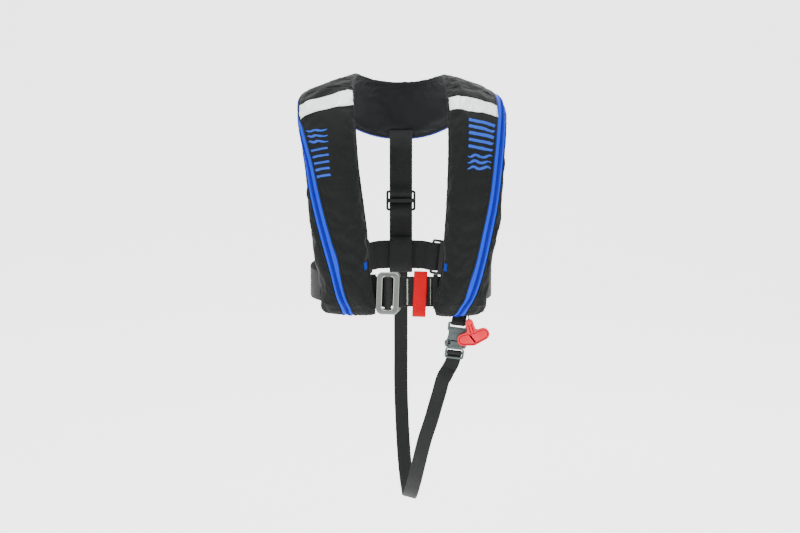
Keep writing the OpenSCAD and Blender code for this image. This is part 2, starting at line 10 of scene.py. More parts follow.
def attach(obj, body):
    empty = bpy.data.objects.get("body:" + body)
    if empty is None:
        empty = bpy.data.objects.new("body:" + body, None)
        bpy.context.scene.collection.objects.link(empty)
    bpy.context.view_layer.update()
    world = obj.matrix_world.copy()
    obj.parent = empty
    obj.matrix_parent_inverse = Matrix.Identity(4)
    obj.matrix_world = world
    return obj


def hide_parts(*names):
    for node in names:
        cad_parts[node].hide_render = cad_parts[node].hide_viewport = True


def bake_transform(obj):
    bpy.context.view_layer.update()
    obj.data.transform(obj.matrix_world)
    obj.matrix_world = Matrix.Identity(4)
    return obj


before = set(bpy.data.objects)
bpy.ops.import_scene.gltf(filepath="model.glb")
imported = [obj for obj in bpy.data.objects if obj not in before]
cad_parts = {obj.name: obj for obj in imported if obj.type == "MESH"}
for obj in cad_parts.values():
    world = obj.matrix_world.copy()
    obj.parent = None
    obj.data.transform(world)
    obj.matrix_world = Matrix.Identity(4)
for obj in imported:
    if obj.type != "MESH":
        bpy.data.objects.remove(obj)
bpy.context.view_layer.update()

MM = 0.001
ROOT = "jacket"
rng = np.random.default_rng(7)
random.seed(7)

# ------------------------------------------------------------------ camera
EL = math.radians(8.0)
DIST = 3.22
fwd = Vector((0, math.cos(EL), -math.sin(EL)))
up = Vector((0, math.sin(EL), math.cos(EL)))
target = Vector((-0.0016, 0, 0)) + up * (-0.270)
cam = bpy.data.cameras.new("camera")
cam.lens = 86.0
cam.sensor_width = 36.0
cam.clip_end = 60
camo = bpy.data.objects.new("camera", cam)
camo.location = target - fwd * DIST
camo.rotation_euler = fwd.to_track_quat("-Z", "Y").to_euler()
bpy.context.scene.collection.objects.link(camo)
bpy.context.scene.camera = camo

# ------------------------------------------------------------------ materials


def new_mat(name):
    m = bpy.data.materials.new(name)
    m.use_nodes = True
    nt = m.node_tree
    b = nt.nodes["Principled BSDF"]
    return m, nt, b


def node(nt, kind, **kw):
    n = nt.nodes.new(kind)
    for k, v in kw.items():
        setattr(n, k, v)
    return n


def math_node(nt, op, a, b=None, c=None):
    n = nt.nodes.new("ShaderNodeMath")
    n.operation = op
    for i, v in enumerate((a, b, c)):
        if v is None:
            continue
        if isinstance(v, (int, float)):
            n.inputs[i].default_value = v
        else:
            nt.links.new(v, n.inputs[i])
    return n.outputs[0]


def mix_col(nt, f, a, b):
    n = nt.nodes.new("ShaderNodeMix")
    n.data_type = "RGBA"
    for i, v in ((0, f), (6, a), (7, b)):
        if isinstance(v, (int, float)):
            n.inputs[i].default_value = v
        elif isinstance(v, (tuple, list)):
            n.inputs[i].default_value = (*v[:3], 1)
        else:
            nt.links.new(v, n.inputs[i])
    return n.outputs[2]


def noise_tex(nt, vec, scale, detail=2.0, rough=0.5):
    n = nt.nodes.new("ShaderNodeTexNoise")
    n.inputs["Scale"].default_value = scale
    n.inputs["Detail"].default_value = detail
    n.inputs["Roughness"].default_value = rough
    if vec is not None:
        nt.links.new(vec, n.inputs["Vector"])
    return n.outputs["Fac"]


def bump(nt, b, height, dist, strength=1.0, prev=None):
    n = nt.nodes.new("ShaderNodeBump")
    n.inputs["Distance"].default_value = dist
    n.inputs["Strength"].default_value = strength
    nt.links.new(height, n.inputs["Height"])
    if prev is not None:
        nt.links.new(prev, n.inputs["Normal"])
    nt.links.new(n.outputs[0], b.inputs["Normal"])
    return n.outputs[0]


def scaled(c, k):
    return tuple(min(1.0, x * k) for x in c[:3])


def weave(name, colour, pitch_u, pitch_v, depth=0.15, twill=0.0, rough=0.85, sheen=0.25, var=0.18, light=1.5, coarse=0.0, spec=0.08):
    """Woven cloth: UV is in metres along and across the cloth; pitches are in mm."""
    m, nt, b = new_mat(name)
    tc = node(nt, "ShaderNodeTexCoord")
    sep = node(nt, "ShaderNodeSeparateXYZ")
    nt.links.new(tc.outputs["UV"], sep.inputs[0])
    u, v = sep.outputs[0], sep.outputs[1]
    ph = math_node(nt, "MULTIPLY", v, 2 * math.pi * 1000 / pitch_v)
    pu = math_node(nt, "MULTIPLY", u, 2 * math.pi * 1000 / pitch_u)
    if twill:
        pu = math_node(nt, "ADD", pu, math_node(nt, "MULTIPLY", ph, twill))
    su = math_node(nt, "SINE", pu)
    sv = math_node(nt, "SINE", ph)
    h = math_node(nt, "ADD", math_node(nt, "MULTIPLY", math_node(nt, "MULTIPLY", su, sv), 0.5),
                  math_node(nt, "MULTIPLY", math_node(nt, "ADD", su, sv), 0.25))
    obj = tc.outputs["Object"]
    n1 = noise_tex(nt, obj, 60, 4, 0.6)
    n2 = noise_tex(nt, obj, 900, 2, 0.6)
    fac = math_node(nt, "MULTIPLY_ADD", h, 0.35, 0.5)
    c1 = mix_col(nt, fac, scaled(colour, 1 - 0.35 * light / 1.5), scaled(colour, light))
    c2 = mix_col(nt, math_node(nt, "MULTIPLY", n1, var * 2), c1, scaled(colour, 0.55))
    c3 = mix_col(nt, math_node(nt, "MULTIPLY", n2, var), c2, scaled(colour, 2.0))
    nt.links.new(c3, b.inputs["Base Color"])
    r = math_node(nt, "MULTIPLY_ADD", n1, -0.15, rough + 0.07)
    nt.links.new(r, b.inputs["Roughness"])
    b.inputs["Sheen Weight"].default_value = sheen
    b.inputs["Sheen Roughness"].default_value = 0.5
    b.inputs["Specular IOR Level"].default_value = spec
    hh = math_node(nt, "ADD", h, math_node(nt, "MULTIPLY", n2, 0.5))
    first = bump(nt, b, hh, depth * MM, 0.7)
    if coarse:
        n3 = noise_tex(nt, obj, 120, 3, 0.55)
        bump(nt, b, n3, coarse * MM, 0.6, first)
    return m


def webbing(name, colour, pitch_u=1.5, pitch_v=2.4, light=1.7, spec=0.16, sheen=0.02):
    """Flat woven belt: cross ribs with a lengthwise herringbone."""
    m, nt, b = new_mat(name)
    tc = node(nt, "ShaderNodeTexCoord")
    sep = node(nt, "ShaderNodeSeparateXYZ")
    nt.links.new(tc.outputs["UV"], sep.inputs[0])
    u, v = sep.outputs[0], sep.outputs[1]
    pv = math_node(nt, "MULTIPLY", v, math.pi * 1000 / pitch_v)
    zig = math_node(nt, "PINGPONG", math_node(nt, "MULTIPLY", v, 1000 / pitch_v), 1.0)
    pu = math_node(nt, "ADD", math_node(nt, "MULTIPLY", u, 2 * math.pi * 1000 / pitch_u), math_node(nt, "MULTIPLY", zig, 2.6))
    su = math_node(nt, "SINE", pu)
    sv = math_node(nt, "ABSOLUTE", math_node(nt, "SINE", pv))
    h = math_node(nt, "ADD", math_node(nt, "MULTIPLY", su, 0.5), math_node(nt, "MULTIPLY", sv, 0.6))
    obj = tc.outputs["Object"]
    n1 = noise_tex(nt, obj, 70, 3, 0.6)
    n2 = noise_tex(nt, obj, 1400, 2, 0.6)
    fac = math_node(nt, "MULTIPLY_ADD", h, 0.35, 0.25)
    c1 = mix_col(nt, fac, scaled(colour, 0.6), scaled(colour, light))
    c2 = mix_col(nt, math_node(nt, "MULTIPLY", n1, 0.35), c1, scaled(colour, 0.6))
    c3 = mix_col(nt, math_node(nt, "MULTIPLY", n2, 0.2), c2, scaled(colour, 2.2))
    nt.links.new(c3, b.inputs["Base Color"])
    nt.links.new(math_node(nt, "MULTIPLY_ADD", n1, -0.2, 0.72), b.inputs["Roughness"])
    b.inputs["Sheen Weight"].default_value = sheen
    b.inputs["Specular IOR Level"].default_value = spec
    bump(nt, b, math_node(nt, "ADD", h, math_node(nt, "MULTIPLY", n2, 0.3)), 0.22 * MM, 0.8)
    return m


def moulded(name, colour, rough=0.45, grain=0.02, var=0.12, spec=0.5, coat=0.0, scale=1500.0, edge_highlight=0.0, ao_shade=0.0):
    m, nt, b = new_mat(name)
    tc = node(nt, "ShaderNodeTexCoord")
    obj = tc.outputs["Object"]
    n1 = noise_tex(nt, obj, 90, 4, 0.6)
    n2 = noise_tex(nt, obj, scale, 3, 0.6)
    c1 = mix_col(nt, math_node(nt, "MULTIPLY", n1, var * 2), tuple(colour), scaled(colour, 0.6))
    # painted edge highlight: convex edges (high pointiness) are made up to 2.2 times lighter
    if edge_highlight:
        geo = node(nt, "ShaderNodeNewGeometry")
        pt = node(nt, "ShaderNodeMapRange")
        pt.inputs[1].default_value = 0.52
        pt.inputs[2].default_value = 0.62
        nt.links.new(geo.outputs["Pointiness"], pt.inputs[0])
        c1 = mix_col(nt, math_node(nt, "MULTIPLY", pt.outputs[0], edge_highlight), c1, scaled(colour, 2.2))
    # painted shade: ambient occlusion darkens the colour towards 0.42 of itself in grooves, corners and recesses
    if ao_shade:
        ao = node(nt, "ShaderNodeAmbientOcclusion", samples=6, only_local=True)
        ao.inputs["Distance"].default_value = ao_shade
        mr = node(nt, "ShaderNodeMapRange")
        mr.inputs[1].default_value = 0.45
        mr.inputs[2].default_value = 0.85
        nt.links.new(ao.outputs["AO"], mr.inputs[0])
        c1 = mix_col(nt, mr.outputs[0], scaled(colour, 0.42), c1)
    nt.links.new(c1, b.inputs["Base Color"])
    nt.links.new(math_node(nt, "MULTIPLY_ADD", n1, 0.2, rough - 0.1), b.inputs["Roughness"])
    b.inputs["Specular IOR Level"].default_value = spec
    b.inputs["Coat Weight"].default_value = coat
    b.inputs["Coat Roughness"].default_value = 0.15
    bump(nt, b, n2, grain * MM, 0.6)
    return m


def metal(name, colour, rough=0.3, brushed=0.03, var=0.25, stretch=(1, 1, 14)):
    m, nt, b = new_mat(name)
    tc = node(nt, "ShaderNodeTexCoord")
    mp = node(nt, "ShaderNodeMapping")
    mp.inputs["Scale"].default_value = stretch
    nt.links.new(tc.outputs["Object"], mp.inputs["Vector"])
    n1 = noise_tex(nt, tc.outputs["Object"], 80, 4, 0.65)
    n2 = noise_tex(nt, mp.outputs[0], 500, 3, 0.6)
    c1 = mix_col(nt, math_node(nt, "MULTIPLY", n1, var), tuple(colour), scaled(colour, 0.55))
    nt.links.new(c1, b.inputs["Base Color"])
    b.inputs["Metallic"].default_value = 1.0
    r = math_node(nt, "ADD", math_node(nt, "MULTIPLY_ADD", n1, 0.2, rough - 0.1), math_node(nt, "MULTIPLY", n2, 0.12))
    nt.links.new(r, b.inputs["Roughness"])
    bump(nt, b, n2, brushed * MM, 0.5)
    return m


COVER = weave("cover_weave", (0.0052, 0.0063, 0.006), 0.9, 0.9, 0.10, 0, 0.68, 0.04, 0.12, 1.3, coarse=0.3)
LINING = weave("lining_weave", (0.0085, 0.0095, 0.0105), 1.6, 1.6, 0.2, 0, 0.9, 0.06, 0.12, 1.4, coarse=0.3)
WEB = webbing("belt_webbing", (0.006, 0.0068, 0.0066))
WEB_GREY = webbing("belt_webbing_worn", (0.02, 0.024, 0.022))
RED_WEB = webbing("red_webbing_weave", (0.42, 0.0, 0.006), 1.3, 2.0, 1.12, spec=0.03, sheen=0.0)
THREAD_LIGHT = moulded("light_thread", (0.62, 0.64, 0.56), 0.6, 0.05)
THREAD_DARK = moulded("dark_thread", (0.03, 0.032, 0.034), 0.55, 0.05)
THREAD_RED = moulded("red_thread", (0.7, 0.02, 0.03), 0.6, 0.05)
STEEL = metal("satin_steel", (0.125, 0.14, 0.129), 0.27, 0.02, 0.35)
# painted highlight: a pale copy of the steel, for thin rims along the buckle's edges
STEEL_HIGHLIGHT = metal("steel_painted_highlight", (0.5, 0.53, 0.5), 0.3, 0.02, 0.3)
STEEL_DARK = metal("worn_steel", (0.11, 0.122, 0.113), 0.33, 0.03, 0.4)
# The clip and the red handle below get ambient-occlusion darkening in their grooves and corners: painted shade.
CLIP = moulded("clip_acetal", (0.05, 0.068, 0.065), 0.42, 0.02, 0.25, 0.3, edge_highlight=0.5, ao_shade=0.0025)
# The clip above, this nylon and the inflator body have their convex edges painted lighter: a painted edge highlight.
DARK = moulded("dark_nylon", (0.01, 0.0105, 0.011), 0.45, 0.03, 0.12, 0.2, edge_highlight=0.4)
RED = moulded("handle_red", (0.66, 0.012, 0.03), 0.5, 0.015, 0.1, 0.12, 0.0, ao_shade=0.003)
COIL = moulded("coil_nylon", (0.0, 0.006, 0.3), 0.4, 0.01, 0.2, 0.12)
PRINT = moulded("emblem_print", (0.012, 0.06, 0.4), 0.6, 0.03, 0.15, 0.15)
TAB = weave("tab_ribbon", (0.002, 0.02, 0.24), 0.7, 0.7, 0.1, 0, 0.6, 0.0)
CORD = moulded("cord_braid", (0.012, 0.012, 0.013), 0.7, 0.15, 0.3, scale=500)


def zip_tape_mat():
    m, nt, b = new_mat("zip_tape_weave")
    tc = node(nt, "ShaderNodeTexCoord")
    sep = node(nt, "ShaderNodeSeparateXYZ")
    nt.links.new(tc.outputs["UV"], sep.inputs[0])
    u, v = sep.outputs[0], sep.outputs[1]
    av = math_node(nt, "ABSOLUTE", v)
    border = math_node(nt, "GREATER_THAN", av, 0.0086)
    centre = math_node(nt, "LESS_THAN", av, 0.0034)
    pu = math_node(nt, "ADD", math_node(nt, "MULTIPLY", u, 2 * math.pi * 1000 / 1.0), math_node(nt, "MULTIPLY", av, 2 * math.pi * 1000 / 1.3))
    su = math_node(nt, "SINE", pu)
    sv = math_node(nt, "SINE", math_node(nt, "MULTIPLY", v, 2 * math.pi * 1000 / 1.1))
    h = math_node(nt, "MULTIPLY_ADD", math_node(nt, "ADD", su, sv), 0.25, 0.5)
    c = mix_col(nt, h, (0.0, 0.024, 0.42), (0.003, 0.042, 0.56))
    c = mix_col(nt, centre, c, (0.0, 0.006, 0.28))
    c = mix_col(nt, border, c, (0.008, 0.02, 0.12))
    n1 = noise_tex(nt, tc.outputs["Object"], 120, 3, 0.6)
    c = mix_col(nt, math_node(nt, "MULTIPLY", n1, 0.25), c, (0.0, 0.018, 0.34))
    nt.links.new(c, b.inputs["Base Color"])
    b.inputs["Specular IOR Level"].default_value = 0.08
    b.inputs["Roughness"].default_value = 0.62
    b.inputs["Sheen Weight"].default_value = 0.0
    bump(nt, b, h, 0.12 * MM, 0.8)
    return m


def reflective_mat():
    m, nt, b = new_mat("reflective_beads")
    tc = node(nt, "ShaderNodeTexCoord")
    sep = node(nt, "ShaderNodeSeparateXYZ")
    nt.links.new(tc.outputs["UV"], sep.inputs[0])
    u, v = sep.outputs[0], sep.outputs[1]
    k = 2 * math.pi * 1000 / 3.2
    d1 = math_node(nt, "SINE", math_node(nt, "MULTIPLY", math_node(nt, "ADD", u, v), k))
    d2 = math_node(nt, "SINE", math_node(nt, "MULTIPLY", math_node(nt, "SUBTRACT", u, v), k))
    g = math_node(nt, "MAXIMUM", math_node(nt, "ABSOLUTE", d1), math_node(nt, "ABSOLUTE", d2))
    line = math_node(nt, "GREATER_THAN", g, 0.985)
    n1 = noise_tex(nt, tc.outputs["Object"], 50, 3, 0.6)
    n2 = noise_tex(nt, tc.outputs["Object"], 2500, 2, 0.7)
    c = mix_col(nt, n1, (0.83, 0.86, 0.86), (0.66, 0.71, 0.72))
    c = mix_col(nt, math_node(nt, "MULTIPLY", line, 0.25), c, (0.4, 0.45, 0.47))
    nt.links.new(c, b.inputs["Base Color"])
    nt.links.new(math_node(nt, "MULTIPLY_ADD", n2, 0.3, 0.25), b.inputs["Roughness"])
    b.inputs["Metallic"].default_value = 0.15
    b.inputs["Specular IOR Level"].default_value = 0.7
    bump(nt, b, math_node(nt, "ADD", math_node(nt, "MULTIPLY", line, -0.8), math_node(nt, "MULTIPLY", n2, 0.3)), 0.08 * MM, 0.6)
    return m


ZIP_TAPE = zip_tape_mat()
REFLECTIVE = reflective_mat()

# ------------------------------------------------------------------ mesh helpers


def make(name, verts, faces, mat, body, uvs=None, reps=(), smooth=True, sharp=None):
    """verts in mm. uvs is one (u, v) per vertex, in metres."""
    me = bpy.data.meshes.new(name)
    me.from_pydata((np.asarray(verts, float) * MM).tolist(), [], [list(map(int, f)) for f in faces])
    me.validate()
    if uvs is not None:
        lay = me.uv_layers.new(name="UVMap")
        idx = np.zeros(len(me.loops), int)
        me.loops.foreach_get("vertex_index", idx)
        lay.data.foreach_set("uv", np.asarray(uvs, float)[idx].ravel())
    if smooth:
        me.polygons.foreach_set("use_smooth", [True] * len(me.polygons))
        if sharp:
            me.set_sharp_from_angle(angle=math.radians(sharp))
    me.update()
    o = bpy.data.objects.new(name, me)
    bpy.context.scene.collection.objects.link(o)
    o.data.materials.append(mat)
    if body:
        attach(o, body)
    if reps:
        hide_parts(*reps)
    return o


def unit(v):
    v = np.asarray(v, float)
    n = np.linalg.norm(v, axis=-1, keepdims=True)
    return v / np.maximum(n, 1e-9)


def spline(P, step=1.6, closed=False):
    """Smooth line through the points P with points about step apart; returns points and, for each, its place in P."""
    P = np.asarray(P, float)
    n = len(P)
    if closed:
        Q = np.vstack([P[-1], P, P[0], P[1]])
    else:
        Q = np.vstack([2 * P[0] - P[1], P, 2 * P[-1] - P[-2]])
    out, par = [], []
    last = n if closed else n - 1
    for i in range(last):
        p0, p1, p2, p3 = Q[i], Q[i + 1], Q[i + 2], Q[i + 3]
        d0, d1, d2 = (max(np.linalg.norm(b - a), 1e-6) for a, b in ((p0, p1), (p1, p2), (p2, p3)))
        m1 = ((p1 - p0) / d0 * d1 + (p2 - p1) / d1 * d0) / (d0 + d1) * d1
        m2 = ((p2 - p1) / d1 * d2 + (p3 - p2) / d2 * d1) / (d1 + d2) * d1
        k = max(1, int(math.ceil(d1 / step)))
        for j in range(k):
            t = j / k
            h = (2 * t**3 - 3 * t**2 + 1, t**3 - 2 * t**2 + t, -2 * t**3 + 3 * t**2, t**3 - t**2)
            out.append(h[0] * p1 + h[1] * m1 + h[2] * p2 + h[3] * m2)
            par.append(i + t)
    if not closed:
        out.append(P[-1])
        par.append(n - 1)
    return np.array(out), np.array(par)


def frames(C, U, closed=False):
    if closed:
        T = unit(np.roll(C, -1, 0) - np.roll(C, 1, 0))
    else:
        T = unit(np.vstack([C[1] - C[0], C[2:] - C[:-2], C[-1] - C[-2]]))
    u = unit(U - T * (U * T).sum(1, keepdims=True))
    N = np.cross(T, u)
    return T, u, N


WEB_INFO = {}


def web(name, P, U, w, t, body=ROOT, closed=False, mat=None, reps=(), rib=2.4, depth=0.05, step=1.6, nx=None, twist=None):
    """Flat webbing through the points P (mm), of width w and thickness t; U is the width direction, one or one per point."""
    C, par = spline(P, step, closed)
    U = np.asarray(U, float)
    if U.ndim == 1:
        Uc = np.repeat(U[None], len(C), 0)
    else:
        if closed:
            U = np.vstack([U, U[:1]])
        i = np.minimum(np.floor(par).astype(int), len(U) - 2)
        f = (par - i)[:, None]
        Uc = U[i] * (1 - f) + U[i + 1] * f
    T, u, N = frames(C, Uc, closed)
    nx = nx or max(12, int(w / 1.2))
    e = 1.0
    x = np.linspace(-1, 1, nx)
    x = np.sign(x) * np.abs(x) ** 0.92 * w / 2
    edge = np.clip((np.abs(x) - (w / 2 - e)) / e, 0, 1)
    h = t / 2 * np.sqrt(np.maximum(1 - edge**2, 0.02)) * (1 - 0.0 * edge)
    h = h + depth * (np.cos(2 * math.pi * x / rib) - 1) * (1 - edge) * 0.5
    h = h + 0.05 * np.exp(-((np.abs(x) - (w / 2 - 1.6)) / 0.6) ** 2)
    ring_x = np.concatenate([x, x[::-1]])
    ring_h = np.concatenate([h, -h[::-1]])
    m = len(ring_x)
    V = C[:, None] + u[:, None] * ring_x[None, :, None] + N[:, None] * ring_h[None, :, None]
    nC = len(C)
    d = np.linalg.norm(np.diff(np.vstack([C, C[:1]]) if closed else C, axis=0), axis=1)
    L = np.concatenate([[0], np.cumsum(d)])[:nC]
    uv = np.stack([np.repeat(L[:, None], m, 1), np.repeat(ring_x[None], nC, 0)], -1).reshape(-1, 2) * MM
    V = V.reshape(-1, 3)
    F = []
    last = nC if closed else nC - 1
    for i in range(last):
        a = i * m
        b = ((i + 1) % nC) * m
        for j in range(m):
            k = (j + 1) % m
            F.append((a + j, b + j, b + k, a + k))
    if not closed:
        for j in range(nx - 1):
            F.append((j, j + 1, m - 2 - j, m - 1 - j))
            q = (nC - 1) * m
            F.append((q + j + 1, q + j, q + m - 1 - j, q + m - 2 - j))
    o = make(name, V, F, mat or WEB, body, uv, reps)
    fix_normals(o)
    WEB_INFO[name] = (C, T, u, N, L)
    return o


def fix_normals(o):
    bm = bmesh.new()
    bm.from_mesh(o.data)
    bmesh.ops.recalc_face_normals(bm, faces=bm.faces)
    bm.to_mesh(o.data)
    bm.free()


def capsules(name, A, B, N, r, mat, body, flat=0.7, sides=6):
    """One little rounded bar from each A to each B, flattened along N. All in mm."""
    A, B, N = (np.asarray(x, float) for x in (A, B, N))
    if len(A) == 0:
        return None
    T = unit(B - A)
    S = unit(np.cross(T, N))
    N2 = np.cross(S, T)
    ts = (0.0, 0.1, 0.5, 0.9, 1.0)
    rs = (0.25, 0.8, 1.0, 0.8, 0.25)
    ang = np.arange(sides) * 2 * math.pi / sides
    V = []
    for t, k in zip(ts, rs):
        c = A + (B - A) * t
        ring = c[:, None] + (S[:, None] * np.cos(ang)[None, :, None] + N2[:, None] * (np.sin(ang) * flat)[None, :, None]) * r * k
        V.append(ring)
    V = np.stack(V, 1).reshape(-1, 3)
    F = []
    m = len(ts) * sides
    base = []
    for i in range(len(ts) - 1):
        for j in range(sides):
            k = (j + 1) % sides
            base.append((i * sides + j, i * sides + k, (i + 1) * sides + k, (i + 1) * sides + j))
    base.append(tuple(reversed(range(sides))))
    base.append(tuple((len(ts) - 1) * sides + j for j in range(sides)))
    for q in range(len(A)):
        F.extend(tuple(q * m + x for x in f) for f in base)
    return make(name, V, F, mat, body, None, ())


def outline(points, radii, k=6):
    """Closed outline with rounded corners."""
    P = [np.array(p, float) for p in points]
    n = len(P)
    if not hasattr(radii, "__len__"):
        radii = [radii] * n
    out = []
    for i in range(n):
        a, b, c = P[i - 1], P[i], P[(i + 1) % n]
        r = radii[i]
        if r <= 0:
            out.append(b)
            continue
        d1, d2 = unit(a - b), unit(c - b)
        ang = math.acos(max(-1, min(1, float(d1 @ d2))))
        cut = min(r / math.tan(ang / 2), 0.49 * np.linalg.norm(a - b), 0.49 * np.linalg.norm(c - b))
        r2 = cut * math.tan(ang / 2)
        cen = b + unit(d1 + d2) * (r2 / math.sin(ang / 2))
        s, e = b + d1 * cut - cen, b + d2 * cut - cen
        a0, a1 = math.atan2(s[1], s[0]), math.atan2(e[1], e[0])
        da = (a1 - a0 + math.pi) % (2 * math.pi) - math.pi
        for j in range(k + 1):
            q = a0 + da * j / k
            out.append(cen + r2 * np.array([math.cos(q), math.sin(q)]))
    return out


def rrect(cx, cy, w, h, r, k=8):
    return outline([(cx - w / 2, cy - h / 2), (cx + w / 2, cy - h / 2), (cx + w / 2, cy + h / 2), (cx - w / 2, cy + h / 2)], r, k)


def circle(cx, cy, r, k=28):
    return [np.array([cx + r * math.cos(2 * math.pi * i / k), cy + r * math.sin(2 * math.pi * i / k)]) for i in range(k)]


def plate_mesh(loops, t, bevel, res=3):
    cu = bpy.data.curves.new("plate", "CURVE")
    cu.dimensions = "2D"
    cu.fill_mode = "BOTH"
    cu.extrude = (t / 2 - bevel) * MM
    cu.bevel_depth = bevel * MM
    cu.bevel_resolution = res
    cu.offset = -bevel * MM
    for lp in loops:
        sp = cu.splines.new("POLY")
        sp.points.add(len(lp) - 1)
        for q, p in zip(sp.points, lp):
            q.co = (p[0] * MM, p[1] * MM, 0, 1)
        sp.use_cyclic_u = True
    ob = bpy.data.objects.new("plate", cu)
    bpy.context.scene.collection.objects.link(ob)
    dg = bpy.context.evaluated_depsgraph_get()
    me = bpy.data.meshes.new_from_object(ob.evaluated_get(dg))
    bpy.data.objects.remove(ob)
    bpy.data.curves.remove(cu)
    bm = bmesh.new()
    bm.from_mesh(me)
    bmesh.ops.remove_doubles(bm, verts=bm.verts, dist=2e-6)
    bmesh.ops.recalc_face_normals(bm, faces=bm.faces)
    bm.to_mesh(me)
    bm.free()
    return me


def mat4(R, o):
    M = Matrix.Identity(4)
    for i in range(3):
        for j in range(3):
            M[i][j] = R[i][j]
        M[i][3] = o[i] * MM
    return M


def join(name, parts, mat, body, reps=(), sharp=35):
    """One piece from several meshes, each with its own 4x4."""
    bm = bmesh.new()
    for me, M in parts:
        tmp = me.copy()
        tmp.transform(M)
        bm.from_mesh(tmp)
        bpy.data.meshes.remove(tmp)
    me = bpy.data.meshes.new(name)
    bm.to_mesh(me)
    bm.free()
    me.polygons.foreach_set("use_smooth", [True] * len(me.polygons))
    me.set_sharp_from_angle(angle=math.radians(sharp))
    me.materials.clear()
    me.materials.append(mat)
    o = bpy.data.objects.new(name, me)
    bpy.context.scene.collection.objects.link(o)
    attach(o, body)
    if reps:
        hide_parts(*reps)
    return o


def rod_mesh(a, b, r, sides=20, bev=0.5, waist=None):
    """Round bar from a to b (mm), with rounded ends; waist is a list of (place, radius) along it."""
    a, b = np.array(a, float), np.array(b, float)
    T = unit(b - a)
    X = unit(np.cross(T, [0.3, 0.5, 0.81]))
    Y = np.cross(T, X)
    L = np.linalg.norm(b - a)
    prof = [(0, max(r - bev, 0.1)), (bev * 0.3, r - bev * 0.3), (bev, r), (L - bev, r), (L - bev * 0.3, r - bev * 0.3), (L, max(r - bev, 0.1))]
    if waist:
        prof = prof[:3] + waist + prof[3:]
    V, F = [], []
    for z, q in prof:
        for j in range(sides):
            w = 2 * math.pi * j / sides
            V.append((a + T * z + (X * math.cos(w) + Y * math.sin(w)) * q) * MM)
    for i in range(len(prof) - 1):
        for j in range(sides):
            k = (j + 1) % sides
            F.append((i * sides + j, i * sides + k, (i + 1) * sides + k, (i + 1) * sides + j))
    F.append(tuple(reversed(range(sides))))
    F.append(tuple((len(prof) - 1) * sides + j for j in range(sides)))
    me = bpy.data.meshes.new("rod")
    me.from_pydata([tuple(v) for v in V], [], F)
    me.update()
    return me


def tube(name, P, r, mat, body, sides=12, reps=(), step=0.9, closed=False, braid=True):
    C, _ = spline(P, step, closed)
    U = np.repeat(np.array([[0.31, 0.17, 0.93]]), len(C), 0)
    T, u, N = frames(C, U, closed)
    n = len(C)
    ang = np.arange(sides) * 2 * math.pi / sides
    L = np.concatenate([[0], np.cumsum(np.linalg.norm(np.diff(C, axis=0), axis=1))])
    rr = np.full((n, sides), float(r))
    if braid:
        rr *= 1 - 0.07 * np.abs(np.sin(ang[None] * 2 + L[:, None] * 2 * math.pi / (r * 5))) * np.abs(np.sin(ang[None] * 2 - L[:, None] * 2 * math.pi / (r * 5)))
    V = C[:, None] + (u[:, None] * np.cos(ang)[None, :, None] + N[:, None] * np.sin(ang)[None, :, None]) * rr[..., None]
    F = []
    last = n if closed else n - 1
    for i in range(last):
        for j in range(sides):
            k = (j + 1) % sides
            F.append((i * sides + j, i * sides + k, ((i + 1) % n) * sides + k, ((i + 1) % n) * sides + j))
    if not closed:
        F.append(tuple(reversed(range(sides))))
        F.append(tuple((n - 1) * sides + j for j in range(sides)))
    uv = np.stack([np.repeat(L[:, None], sides, 1), np.repeat((ang * r)[None], n, 0)], -1).reshape(-1, 2) * MM
    o = make(name, V.reshape(-1, 3), F, mat, body, uv, reps)
    fix_normals(o)
    return o

# ------------------------------------------------------------------ the U-shaped cover
KI = np.array([
    [-43, -131, -333], [-43, -135, -326], [-45, -137, -311], [-50.5, -141, -286], [-54, -144, -242], [-57, -146, -192],
    [-63.5, -145, -140], [-70, -137, -88], [-74, -119, -38], [-77, -90, 6], [-79, -50, 36], [-76, -6, 52],
    [-64, 34, 49], [-45, 64, 42], [-23, 80, 38], [0, 85, 37], [23, 80, 38], [44, 64, 42],
    [62, 34, 48], [71, -6, 50], [75, -50, 36], [77, -90, 6], [78, -119, -38], [77.5, -137, -88],
    [75.5, -145, -140], [73, -146, -192], [70, -144, -242], [64, -141, -286], [58, -137, -312], [56.5, -135, -327],
    [59, -131, -335]], float)
KO = np.array([
    [-124, -102, -334], [-131, -102, -327], [-132, -101, -313], [-133, -103, -288], [-141, -107, -244], [-148, -110, -194],
    [-153, -110, -142], [-156, -102, -92], [-165, -84, -44], [-171, -54, -8], [-171, -16, 10], [-158, 30, 14],
    [-131, 78, -6], [-93, 107, -38], [-48, 118, -58], [0, 121, -64], [48, 118, -58], [92, 108, -38],
    [130, 78, -8], [155, 30, 12], [168, -16, 8], [173, -54, -12], [172, -84, -46], [169, -102, -92],
    [165, -110, -142], [160, -110, -194], [150, -107, -244], [143, -103, -290], [141, -101, -315], [138, -102, -329],
    [128, -102, -337]], float)
KT = np.array([5.4, 14, 21, 23, 23, 22, 21, 19, 17, 15, 12, 10, 11, 13, 14, 14, 14, 13, 11, 10, 12, 15, 17, 19, 21, 22, 23, 23, 21, 14, 5.4])[:, None]
KZ = np.array([93, 93, 92, 89, 84, 73, 60, 42, 19, -7, -11, -6, 2, 5, 5, 5, 5, 5, 6, 12, 28, 37, 44, 52, 59, 70, 76, 84, 90, 93, 98], float)[:, None]
LAST = 30.0


